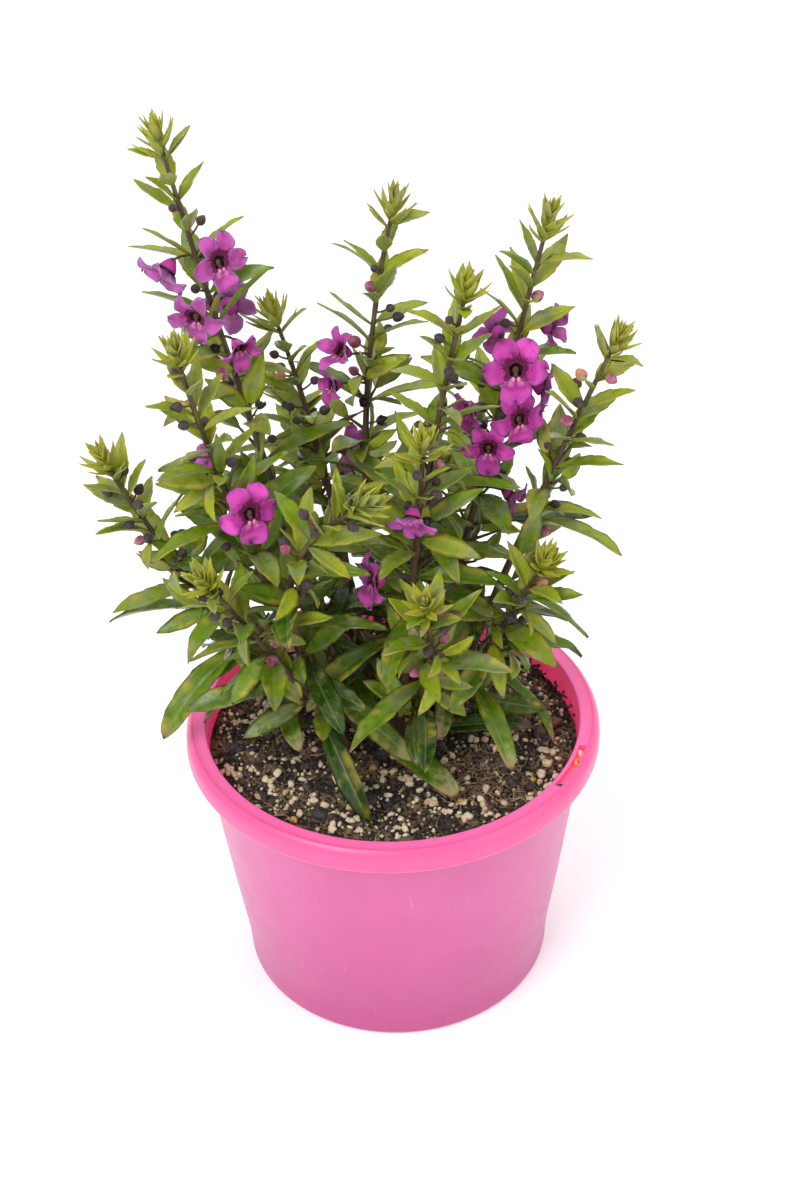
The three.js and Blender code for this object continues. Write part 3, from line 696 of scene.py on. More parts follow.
def grow_plant() -> list[Shoot]:
    """Lays out every shoot, kept clear of the others, as on the solids, and then the small side sprigs.

    Returns:
        The shoots with their flowers, buds, leaves and sprigs in place.
    """
    crowd = Crowd()
    shoots = [Shoot(order, plan, crowd) for order, plan in enumerate(SHOOTS)]
    flowers = []
    for number, plan in enumerate(BLOOMS, 1):
        shoot = next(shoot for shoot in shoots if shoot.name == plan.shoot)
        shoot.flowers.append(Flower(number, plan, shoot.stem))
        flowers.append(shoot.flowers[-1])
    for shoot in shoots:
        count = math.ceil(shoot.stem.length / Stem.SAMPLE_SPACING)
        line = shoot.stem.at(np.arange(count + 1) / count)
        reach = crowd.PIECE_CLEAR + STEM_FOOT_RADIUS + 0.6
        crowd.add(Cluster(shoot.name, line, np.zeros(len(line), bool), reach))
    for shoot in shoots:
        parts = [bract.samples() for bract in shoot.bracts]
        points = np.vstack([part[0] for part in parts])
        outer = np.concatenate([part[1] for part in parts])
        crowd.add(Cluster(shoot.name, points, outer, crowd.LEAF_CLEAR))
    for flower in flowers:
        throat = flower.back + (flower.mouth - flower.back) * np.array((0, 0.35, 0.7, 1))[:, None]
        points = np.vstack([throat, *(lobe.samples()[0] for lobe in flower.lobes())])
        crowd.add(Cluster(flower.name, points, np.ones(len(points), bool), crowd.LEAF_CLEAR))
    for flower in flowers:
        line = flower.root + (flower.back - flower.root) * np.array((0.35, 0.6, 0.85))[:, None]
        crowd.add(Cluster(flower.plan.shoot, line, np.ones(3, bool), crowd.PIECE_CLEAR + 1))
    for shoot in shoots:
        shoot.place_buds()
        shoot.place_leaves()
    for shoot in shoots:
        shoot.place_tip_leaves()
        shoot.place_side_buds()
        shoot.place_sprigs()
    return shoots


# Forms: small closed shapes that pieces are made of


def spun(section: Sequence[Pair], steps: int) -> Shape:
    """Spins a section round z into a closed shape.

    Args:
        section: the radius and height of each corner, from pole to pole.
        steps: the number of steps in the full turn.

    Returns:
        The shape, with its faces outward.
    """
    bm = bmesh.new()
    line = [bm.verts.new((r, 0, z)) for r, z in section]
    edges = [bm.edges.new(pair) for pair in zip(line, line[1:])]
    bmesh.ops.spin(
        bm, geom=line + edges, cent=(0, 0, 0), axis=(0, 0, 1), angle=FULL_TURN, steps=steps, use_merge=True,
    )
    bmesh.ops.remove_doubles(bm, verts=bm.verts, dist=1e-4)
    bmesh.ops.recalc_face_normals(bm, faces=bm.faces)
    return bm


def in_metres(name: str, bm: Shape) -> bpy.types.Mesh:
    """Turns a shape in millimetres into a mesh in metres.

    Args:
        name: the mesh's name.
        bm: the shape, which is freed.

    Returns:
        The mesh.
    """
    bmesh.ops.scale(bm, vec=(MM, MM, MM), verts=bm.verts)
    mesh = bpy.data.meshes.new(name)
    bm.to_mesh(mesh)
    bm.free()
    return mesh


def placed(name: str, data: bpy.types.ID) -> bpy.types.Object:
    """Puts a new object into the scene.

    Args:
        name: its name.
        data: its mesh, light or camera.

    Returns:
        The object, at the origin.
    """
    made = bpy.data.objects.new(name, data)
    bpy.context.scene.collection.objects.link(made)
    return made


class Form:
    """A closed unit shape that is put into a piece many times, deformed each time by a formula."""

    def __init__(self, name: str, bm: Shape, sheet: bool = False) -> None:
        """Keeps the shape as a mesh, with its corners as rows of numbers.

        Args:
            name: the mesh's name.
            bm: the shape, which is freed.
            sheet: whether it is a blade, whose map is its own x and y.
        """
        layer = bm.loops.layers.uv.new(UV_MAP)
        for face in bm.faces:
            for loop in face.loops:
                x, y, _ = loop.vert.co
                loop[layer].uv = (0.5 + 0.5 * x, y) if sheet else (0.5, 0.5)
        self.mesh = bpy.data.meshes.new(name)
        bm.to_mesh(self.mesh)
        bm.free()
        self.points = np.array([tuple(vertex.co) for vertex in self.mesh.vertices], float)
        self.under = ((1 - self.points[:, 2]) / 2).tolist() if sheet else [0.0] * len(self.points)


def blade_form(across: int, along: int) -> Form:
    """Returns a unit blade: x from -1 to 1 across, y from 0 to 1 along, z 1 above, -1 below, 0 on its edge.

    Args:
        across: its faces across.
        along: its faces along.

    Returns:
        The form.
    """
    bm = bmesh.new()
    bmesh.ops.create_grid(bm, x_segments=across, y_segments=along, size=1)
    bmesh.ops.transform(bm, matrix=Matrix.Diagonal((1, 0.5, 1, 1)), verts=bm.verts)
    bmesh.ops.translate(bm, vec=(0, 0.5, 1), verts=bm.verts)
    lower = bmesh.ops.duplicate(bm, geom=bm.verts[:] + bm.edges[:] + bm.faces[:])["geom"]
    lower_verts = [item for item in lower if isinstance(item, bmesh.types.BMVert)]
    bmesh.ops.translate(bm, vec=(0, 0, -2), verts=lower_verts)
    bmesh.ops.reverse_faces(bm, faces=[item for item in lower if isinstance(item, bmesh.types.BMFace)])
    for vertex in bm.verts:
        if vertex.is_boundary:
            vertex.co.z = 0
    bmesh.ops.remove_doubles(bm, verts=bm.verts, dist=1e-5)
    return Form(f"blade_{across}x{along}", bm, sheet=True)


def tube_form(sides: int, steps: int) -> Form:
    """Returns a unit tube round z, closed by a pole at each end."""
    heights = [step / steps for step in range(steps + 1)]
    return Form(f"tube_{sides}x{steps}", spun([(0, 0), *((1, z) for z in heights), (0, 1)], sides))


def simple_form(name: str, make: Callable[..., object], **sizes: object) -> Form:
    """Returns a form that one of the bmesh operators makes.

    Args:
        name: the mesh's name.
        make: the operator.
        **sizes: the operator's own values.

    Returns:
        The form.
    """
    bm = bmesh.new()
    make(bm, **sizes)
    return Form(name, bm)


def cut_block(bm: Shape) -> None:
    """Makes a block whose faces are cut once each way."""
    bmesh.ops.create_cube(bm, size=2)
    bmesh.ops.subdivide_edges(bm, edges=bm.edges, cuts=1, use_grid_fill=True)


class Forms:
    """The unit shapes that the pieces share."""

    def __init__(self) -> None:
        """Makes the blades, the tubes, the balls, the chip of bark and the hair."""
        ball, cone = bmesh.ops.create_icosphere, bmesh.ops.create_cone
        up = Matrix.Translation((0, 0, 0.5))
        self.leaf = blade_form(8, 20)
        self.small_leaf = blade_form(4, 10)
        self.sepal = blade_form(2, 4)
        self.petal = blade_form(12, 16)
        self.stem = tube_form(10, 60)
        self.stalk = tube_form(5, 6)
        self.throat = tube_form(20, 14)
        self.ball = simple_form("ball", ball, subdivisions=2, radius=1)
        self.crumb = simple_form("crumb", ball, subdivisions=1, radius=1)
        self.chip = simple_form("chip", cut_block)
        self.hair = simple_form(
            "hair", cone, cap_ends=True, segments=3, radius1=1, radius2=0, depth=1, matrix=up,
        )


@dataclass
class Piece:
    """A piece of the scene under construction, made of many small closed forms."""

    name: str
    slot: Slot
    finishes: Sequence[Material]

    def __post_init__(self) -> None:
        """Starts the empty shape."""
        self.bm = bmesh.new()
        self.bm.loops.layers.uv.new(UV_MAP)
        self.bm.verts.layers.float_color.new(TONE)

    def add(self, form: Form, places: Vec, finish: int = 0, tone: Pair = (0.5, 0.5)) -> None:
        """Puts in one copy of a form.

        Args:
            form: the unit shape.
            places: a row of coordinates for each of its corners.
            finish: the number of its finish.
            tone: how far up the plant it is, and its own random share.
        """
        start, first_face = len(self.bm.verts), len(self.bm.faces)
        self.bm.from_mesh(form.mesh)
        self.bm.verts.ensure_lookup_table()
        self.bm.faces.ensure_lookup_table()
        layer = self.bm.verts.layers.float_color[TONE]
        for vertex, place, under in zip(self.bm.verts[start:], places.tolist(), form.under):
            vertex.co = place
            vertex[layer] = (tone[0], tone[1], under, 1)
        for face in self.bm.faces[first_face:]:
            face.material_index = finish

    def finish(self, *replaced: str) -> bpy.types.Object:
        """Turns the piece to metres, gives it to the frame and returns its object.

        Args:
            *replaced: the nodes that it stands for.

        Returns:
            The object.
        """
        mesh = in_metres(self.name, self.bm)
        return hand_over(self.name, mesh, self.slot, self.finishes, replaced)


def hand_over(
    name: str, mesh: bpy.types.Mesh, slot: Slot, finishes: Sequence[Material], replaced: Sequence[str],
) -> bpy.types.Object:
    """Makes a mesh a piece of the model.

    Args:
        name: the piece's name.
        mesh: its mesh, in metres.
        slot: the record's material slot; not used.
        finishes: its materials.
        replaced: the nodes that it stands for.

    Returns:
        The piece's object, which rides on the body.
    """
    mesh.shade_smooth()
    for finish in finishes:
        mesh.materials.append(finish)
    piece = placed(name, mesh)
    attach(piece, BODY)
    if replaced:
        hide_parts(*replaced)
    LOG.info("%s: %d faces", name, len(mesh.polygons))
    return piece


def tube_places(form: Form, middle: Vec, along: Vec, radius: Vec) -> Vec:
    """Returns a tube's corners.

    Args:
        form: the unit tube.
        middle: the centre line's point for each corner.
        along: the centre line's direction for each corner.
        radius: the radius for each corner.

    Returns:
        The corners.
    """
    across = unit(np.cross(AWAY, along))
    other = np.cross(along, across)
    x, y = form.points[:, 0:1], form.points[:, 1:2]
    return middle + (across * x + other * y) * radius[:, None]


def stalk_places(form: Form, start: Vec, end: Vec, radii: Pair, sag: Vec) -> Vec:
    """Returns the corners of a thin stalk from start to end that bows by sag halfway.

    Args:
        form: the unit tube.
        start: its root.
        end: its far end.
        radii: the radius at each end.
        sag: how far and which way it bows.

    Returns:
        The corners.
    """
    share = form.points[:, 2:3]
    middle = start + (end - start) * share + sag * (4 * share * (1 - share))
    along = unit((end - start) + sag * (4 - 8 * share))
    return tube_places(form, middle, along, radii[0] + (radii[1] - radii[0]) * form.points[:, 2])


@dataclass(frozen=True)
class LeafShape:
    """A blade's outline and relief."""

    widest: float = 0.5  # share of the length
    base_taper: float = 0.8
    tip_power: float = 1.8
    tip_taper: float = 0.8  # below 1 the tip is blunter
    teeth: float = 5.0
    tooth_depth: float = 0.1
    veins: float = 7.0
    relief: float = 0.16
    groove: float = 0.35
    wave: float = 0.5
    half_thickness: float = 0.2
    fullness: float = 1.0
    twist: float = 0.0
    end_width: float = 0.05
    fold: float = FOLD

    def width(self, share: Vec, side: Vec, phase: float) -> Vec:
        """Returns the width at shares of the length, with shallow teeth on each side.

        Args:
            share: shares of the length.
            side: above 0 on one side of the blade.
            phase: shifts the teeth.

        Returns:
            The shares of the half width.
        """
        base = np.sin(0.5 * math.pi * np.clip(share / self.widest, 0.02, 1)) ** self.base_taper
        ahead = np.clip((share - self.widest) / (1 - self.widest), 0, 1)
        tip = np.clip(1 - ahead**self.tip_power, 0, 1) ** self.tip_taper
        saw = (share * self.teeth + phase + 0.37 * (side > 0)) % 1
        window = smooth(share, 0.22, 0.4) * (1 - smooth(share, 0.86, 0.97))
        toothed = np.minimum(base, tip) * (1 + self.tooth_depth * (saw - 0.6) * window)
        return np.maximum(toothed, self.end_width)

    def places(self, form: Form, blade: Blade, phase: float) -> Vec:
        """Returns the corners of a blade's form on its arc, with its fold, veins and waved edge.

        Args:
            form: the unit blade.
            blade: the arc that it follows.
            phase: sets its teeth and waves apart from the next one's.

        Returns:
            The corners.
        """
        x, share, face = form.points.T
        middle, up = blade.at(share)
        turn = (self.twist * share)[:, None]
        side = blade.side * np.cos(turn) + up * np.sin(turn)
        lift = up * np.cos(turn) - blade.side * np.sin(turn)
        reach = x * blade.half_width * self.fullness * self.width(share, x, phase)
        rise = np.abs(reach) * math.tan(math.radians(self.fold))
        rise -= self.groove * np.exp(-((x / 0.13) ** 2)) * (1 - share)
        vein = np.sin(FULL_TURN * (share * self.veins - 0.9 * np.abs(x)))
        rise += self.relief * vein * (1 - x * x) * np.abs(x)
        rise += self.wave * np.sin(FULL_TURN * (share * 2.2 + phase) + 1.7 * (x > 0)) * x * x * share
        rise += face * self.half_thickness
        return middle + side * reach[:, None] + lift * rise[:, None]


# Materials


class Graph:
    """The nodes of one material, with short calls that join them."""

    def __init__(self, name: str, base: Colour, **fixed: object) -> None:
        """Starts a material.

        Args:
            name: its name.
            base: the colour that the others are painted over.
            **fixed: values on the shader's own sockets.
        """
        self.material = bpy.data.materials.new(name)
        self.material.use_nodes = True
        self.tree = self.material.node_tree
        self.shader = self.tree.nodes["Principled BSDF"]
        for socket, value in fixed.items():
            self.feed(self.shader.inputs[socket.replace("_", " ")], value)
        self.where = self.node("TexCoord").outputs["Object"]
        self.colour: object = base

    def node(self, kind: str, fed: dict | None = None, **settings: object) -> bpy.types.Node:
        """Adds a node.

        Args:
            kind: its type, without the words that every type begins with.
            fed: what feeds its inputs, by their name or number.
            **settings: its own settings.

        Returns:
            The node.
        """
        node = self.tree.nodes.new(f"ShaderNode{kind}")
        for name, value in settings.items():
            setattr(node, name, value)
        for socket, value in (fed or {}).items():
            self.feed(node.inputs[socket], value)
        return node

    def feed(self, socket: Socket, value: object) -> None:
        """Joins a socket to another one, or sets it to a number, a direction or a colour.

        Args:
            socket: the socket.
            value: another socket, or what it is set to.
        """
        if isinstance(value, Socket):
            self.tree.links.new(value, socket)
        else:
            socket.default_value = (*value, 1) if socket.type == "RGBA" else value

    def math(self, operation: str, *values: object) -> Socket:
        """Returns a Math node's result for its numbers or sockets."""
        return self.node("Math", dict(enumerate(values)), operation=operation).outputs[0]

    def times(self, first: object, second: object) -> Socket:
        """Returns a product."""
        return self.math("MULTIPLY", first, second)

    def plus(self, first: object, second: object) -> Socket:
        """Returns a sum."""
        return self.math("ADD", first, second)

    def scaled(self, value: object, low: float, high: float) -> Socket:
        """Returns a value from 0 to 1 turned into one from low to high."""
        return self.math("MULTIPLY_ADD", value, high - low, low)

    def stripes(self, value: object, width: float) -> Socket:
        """Returns soft stripes of a half width, one for each whole number that a value runs through."""
        middle = self.math("ABSOLUTE", self.plus(self.math("FRACT", value), -0.5))
        return self.band(middle, width, 0.0)

    def band(self, value: object, low: float, high: float) -> Socket:
        """Returns a smooth step from 0 at low to 1 at high, which may be the lower number."""
        fed = {"Value": value, "From Min": low, "From Max": high}
        return self.node("MapRange", fed, interpolation_type="SMOOTHSTEP").outputs["Result"]

    def mix(self, share: object, first: object, second: object) -> Socket:
        """Returns a colour between two, by the second one's share."""
        return self.node("Mix", {"Factor": share, 6: first, 7: second}, data_type="RGBA").outputs[2]

    def noise(self, size: float, detail: float = 3.0, stretch: Triple = (1, 1, 1)) -> Socket:
        """Returns noise from 0 to 1.

        Args:
            size: about how large its lumps are, in millimetres.
            detail: how many finer layers it has.
            stretch: its scale along each axis.

        Returns:
            The noise.
        """
        mapping = self.node("Mapping", {"Scale": stretch, "Vector": self.where})
        fed = {"Scale": 1 / (size * MM), "Detail": detail, "Vector": mapping.outputs[0]}
        return self.node("TexNoise", fed).outputs["Fac"]

    def cells(self, size: float) -> Socket:
        """Returns the distance from the middle of cells of about a size in millimetres, in cells."""
        return self.node("TexVoronoi", {"Scale": 1 / (size * MM), "Vector": self.where}).outputs["Distance"]

    def split(self, kind: str, source: object) -> tuple[Socket, ...]:
        """Returns the parts of a vector or a colour, split by a type of node."""
        return tuple(self.node(kind, {0: source}).outputs)

    def map_uv(self) -> tuple[Socket, ...]:
        """Reads the place on a blade.

        Returns:
            How far across, how far along, and across from -1 to 1 by its side.
        """
        x, along, _ = self.split("SeparateXYZ", self.node("UVMap", uv_map=UV_MAP).outputs[0])
        side = self.scaled(x, -1.0, 1.0)
        return self.math("ABSOLUTE", side), along, side

    def tone(self) -> tuple[Socket, ...]:
        """Returns how far up the plant the piece is, its random share, and whether this is an under face."""
        tone = self.node("Attribute", attribute_name=TONE)
        return self.split("SeparateColor", tone.outputs["Color"])

    def height(self) -> Socket:
        """Returns the height over the floor, in metres."""
        return self.split("SeparateXYZ", self.where)[2]

    def radius(self) -> Socket:
        """Returns the distance from the pot's axis, in metres."""
        x, y, _ = self.split("SeparateXYZ", self.where)
        return self.math("SQRT", self.plus(self.times(x, x), self.times(y, y)))

    def bump(self, height: object, depth: float, strength: float = 1.0) -> None:
        """Roughens the surface by a height of a depth in millimetres, of which a share shows."""
        bump = self.node("Bump", {"Distance": depth * MM, "Strength": strength, "Height": height})
        self.feed(self.shader.inputs["Normal"], bump.outputs[0])

    def share(self, *shares: object) -> Socket:
        """Returns the product of some shares.

        Args:
            *shares: numbers or sockets; three values together make a step.

        Returns:
            The product.
        """
        steps = [self.band(*share) if isinstance(share, tuple) else share for share in shares]
        product = steps[0]
        for other in steps[1:]:
            product = self.times(product, other)
        return product

    def paint(self, colour: object, *shares: object) -> None:
        """Lays a colour over what is painted so far.

        Args:
            colour: the colour.
            *shares: how much of it shows, as for a product of shares.
        """
        self.colour = self.mix(self.share(*shares), self.colour, colour)

    def dress(self, roughness: object) -> Material:
        """Joins what is painted and the roughness to the shader.

        Args:
            roughness: a number or a socket.

        Returns:
            The material.
        """
        self.feed(self.shader.inputs["Base Color"], self.colour)
        self.feed(self.shader.inputs["Roughness"], roughness)
        return self.material


def speckled(name: str, base: Colour, over: Colour, size: float, roughness: float) -> Material:
    """Makes a material of one colour speckled with another.

    Args:
        name: its name.
        base: its main colour.
        over: the specks' colour.
        size: the specks' size in millimetres.
        roughness: how rough it is.

    Returns:
        The material.
    """
    graph = Graph(name, base, IOR=1.4)
    grain = graph.noise(size, 3)
    graph.paint(over, (grain, 0.38, 0.65))
    graph.bump(grain, 0.1, 0.5)
    return graph.dress(roughness)


@dataclass(frozen=True)
class LeafFinish:
    """Lance leaves: dark and glossy low down, yellow-green at the top, with worn tips and yellow patches."""

    low: Colour = (0.015, 0.047, 0.003)
    middle: Colour = (0.125, 0.230, 0.004)
    top: Colour = (0.32, 0.370, 0.014)
    head: Colour = (0.47, 0.47, 0.030)
    # Grey-green patches: part dull leaf tone, part painted sheen
    dull_and_sheen: Colour = (0.24, 0.265, 0.15)
    rib: Colour = (0.26, 0.35, 0.08)
    yellowed: Colour = (0.45, 0.36, 0.040)
    margin: Colour = (0.36, 0.19, 0.05)
    worn: Colour = (0.25, 0.14, 0.075)
    bleached: Colour = (0.44, 0.37, 0.17)
    shade: Colour = (0.014, 0.036, 0.003)
    under: Colour = (0.24, 0.30, 0.11)

    def make(self) -> Material:
        """Returns the leaves' material.

        Returns:
            The material.
        """
        graph = Graph("leaf_green", self.low, IOR=1.46, Specular_IOR_Level=0.32)
        across, along, side = graph.map_uv()
        age, chance, under = graph.tone()
        mottle, patches = graph.noise(3.2, 4), graph.noise(6.5, 3)
        aged = graph.plus(age, graph.scaled(chance, -0.34, 0.2))
        graph.paint(self.middle, (aged, 0.02, 0.54))
        graph.paint(self.top, (aged, 0.45, 0.95))
        graph.paint(self.head, (age, 0.96, 1.0))
        graph.paint(self.top, (mottle, 0.5, 0.78), 0.35)
        graph.paint(self.shade, (mottle, 0.5, 0.28), 0.4)
        # Grey-green patches, part dull leaf tone and part painted sheen
        graph.paint(self.dull_and_sheen, (graph.noise(10.0, 3), 0.46, 0.62), (age, 0.15, 0.5), 0.5)
        vein = graph.stripes(graph.plus(graph.times(along, 9.0), graph.times(across, -1.6)), 0.1)
        graph.paint(self.rib, vein, 0.1)
        graph.paint(self.rib, (across, 0.1, 0.02), 0.35)
        # One side of an older leaf yellows in soft patches
        lean = graph.plus(across, graph.times(side, graph.scaled(chance, -0.9, 0.9)))
        graph.paint(self.yellowed, (patches, 0.46, 0.66), (lean, 0.0, 0.9), (age, 0.05, 0.4), 0.8)
        graph.paint(self.margin, (across, 0.7, 1.0), (mottle, 0.5, 0.62), (chance, 0.35, 0.85), 0.65)
        end = graph.plus(along, graph.scaled(mottle, -0.18, 0.18))
        graph.paint(self.bleached, (end, 0.76, 1.0), (age, 0.45, 0.15), (chance, 0.2, 0.9))
        tip = graph.share((end, 0.86, 1.02), (chance, 0.3, 0.6))
        spots = graph.share((graph.noise(2.8, 3), 0.62, 0.7), (chance, 0.45, 0.9), (across, 0.35, 0.9))
        graph.paint(self.worn, graph.math("MAXIMUM", tip, spots), 0.75)
        graph.paint(self.under, (under, 0.55, 0.9), 0.5)
        graph.bump(graph.plus(graph.times(vein, -0.5), graph.noise(0.5, 2)), 0.1, 0.5)
        return graph.dress(graph.scaled(graph.band(patches, 0.35, 0.65), 0.2, 0.44))


@dataclass(frozen=True)
class StemFinish:
    """Stems and pedicels: purple-brown with green showing through, finely ribbed."""

    brown: Colour = (0.085, 0.036, 0.036)
    green: Colour = (0.17, 0.17, 0.04)

    def make(self) -> Material:
        """Returns the stems' material.

        Returns:
            The material.
        """
        graph = Graph("stem_purple_brown", self.brown, IOR=1.45)
        streaks = graph.noise(2.2, 3, (1, 1, 0.12))
        graph.paint(self.green, (graph.noise(9.0, 2), 0.5, 0.72), 0.75)
        graph.paint(self.green, streaks, 0.35)
        graph.bump(streaks, 0.15, 0.7)
        return graph.dress(0.5)


@dataclass(frozen=True)
class BudFinish:
    """Buds and calyces: dull grey-purple, downy, with a few pink ones showing their petals."""

    calyx: Colour = (0.040, 0.024, 0.028)
    pale: Colour = (0.115, 0.080, 0.068)
    petal: Colour = (0.32, 0.055, 0.14)
    petal_pale: Colour = (0.50, 0.19, 0.25)
    salmon: Colour = (0.60, 0.24, 0.14)
    coloured: float = 0.84  # the random share above which a bud shows its petals

    def make(self) -> Material:
        """Returns the buds' material.

        Returns:
            The material.
        """
        graph = Graph("bud_purple_grey", self.calyx, IOR=1.4, Sheen_Weight=0.12)
        _, chance, _ = graph.tone()
        down, patch = graph.noise(0.45, 3), graph.noise(2.0, 2)
        graph.paint(self.pale, (down, 0.4, 0.75))
        petal = graph.mix(graph.band(patch, 0.4, 0.62), self.petal, self.petal_pale)
        graph.paint(petal, (chance, self.coloured, self.coloured + 0.01))
        graph.paint(self.salmon, (chance, 0.965, 0.97))
        graph.paint(self.calyx, (down, 0.55, 0.7), 0.4)
        graph.bump(down, 0.12, 0.7)
        return graph.dress(graph.scaled(patch, 0.75, 0.4))


@dataclass(frozen=True)
class PetalFinish:
    """Petals: magenta-purple with fine darker veins, maroon in the throat, and lavender once they fade."""

    fresh: Colour = (0.45, 0.036, 0.29)
    bright: Colour = (0.70, 0.088, 0.49)
    deep: Colour = (0.21, 0.016, 0.12)
    edge: Colour = (0.40, 0.085, 0.40)
    faded: Colour = (0.40, 0.21, 0.46)
    spot: Colour = (0.095, 0.003, 0.030)
    throat: Colour = (0.070, 0.006, 0.022)
    olive: Colour = (0.12, 0.070, 0.022)
    mark: Colour = (0.74, 0.26, 0.46)

    def petal(self, name: str, foot_end: float, marked: bool) -> Material:
        """Returns a lobe's material.

        Args:
            name: the material's name.
            foot_end: the share of the length at which the dark foot ends.
            marked: whether it is the lower lobe's, with the pale mark at its foot.

        Returns:
            The material.
        """
        graph = Graph(name, self.fresh, IOR=1.38, Specular_IOR_Level=0.2, Sheen_Weight=0.03)
        across, along, _ = graph.map_uv()
        fade, chance, under = graph.tone()
        cloud = graph.noise(5.0, 2)
        glow = graph.plus(graph.band(along, 0.25, 0.7), graph.scaled(cloud, -0.9, 0.9))
        graph.paint(self.bright, (glow, 0.1, 0.95))
        graph.paint(self.fresh, chance, 0.45)
        graph.paint(self.deep, (graph.noise(2.6, 3), 0.52, 0.7), 0.22)
        rim = graph.math("MAXIMUM", graph.band(along, 0.72, 1.0), graph.band(across, 0.6, 1.0))
        graph.paint(self.edge, rim, 0.5)
        graph.paint(self.deep, fade, (cloud, 0.7, 0.3))
        graph.paint(self.faded, graph.math("MAXIMUM", rim, 0.25), fade)
        if marked:
            aside = graph.math("ABSOLUTE", graph.plus(across, -0.34))
            graph.paint(self.mark, (along, 0.38, 0.22), (aside, 0.3, 0.08), 0.6)
        vein = graph.share(graph.stripes(graph.times(across, 5.0), 0.16), (along, 0.8, 0.2))
        graph.paint(self.deep, vein, 0.16)
        graph.paint(self.spot, (graph.noise(0.8, 2), 0.54, 0.62), (along, 0.52, 0.3), 0.5)
        blotch = graph.plus(along, graph.scaled(graph.noise(1.8, 2), -0.16, 0.16))
        graph.paint(self.spot, (blotch, foot_end, 0.5 * foot_end), 0.94)
        graph.paint(self.faded, under, 0.3)
        graph.bump(graph.plus(graph.times(vein, -0.5), cloud), 0.1, 0.4)
        return graph.dress(0.45)

    def inside(self) -> Material:
        """Makes the throat's material: magenta outside, dark maroon with pale flecks inside.

        Returns:
            The material.
        """
        graph = Graph("throat_maroon", self.fresh, IOR=1.38)
        depth, _, _ = graph.tone()
        flecks = graph.band(graph.noise(0.9, 2), 0.6, 0.68)
        flecked = graph.mix(graph.times(flecks, 0.35), self.throat, self.mark)
        graph.paint(flecked, (depth, 0.36, 0.46))
        graph.bump(graph.noise(0.5, 2), 0.1, 0.5)
        return graph.dress(0.55)

    def all(self) -> tuple[Material, ...]:
        """Makes the finishes of a bloom, in the order of its tissues.

        Returns:
            The materials.
        """
        return (
            self.petal("petal_upper", 0.34, False),
            self.petal("petal_side", 0.24, False),
            self.petal("petal_lower", 0.15, True),
            self.inside(),
            speckled("lip_mark_pale", self.mark, self.bright, 1.6, 0.5),
            speckled("boss_olive", self.olive, self.throat, 0.7, 0.6),
        )


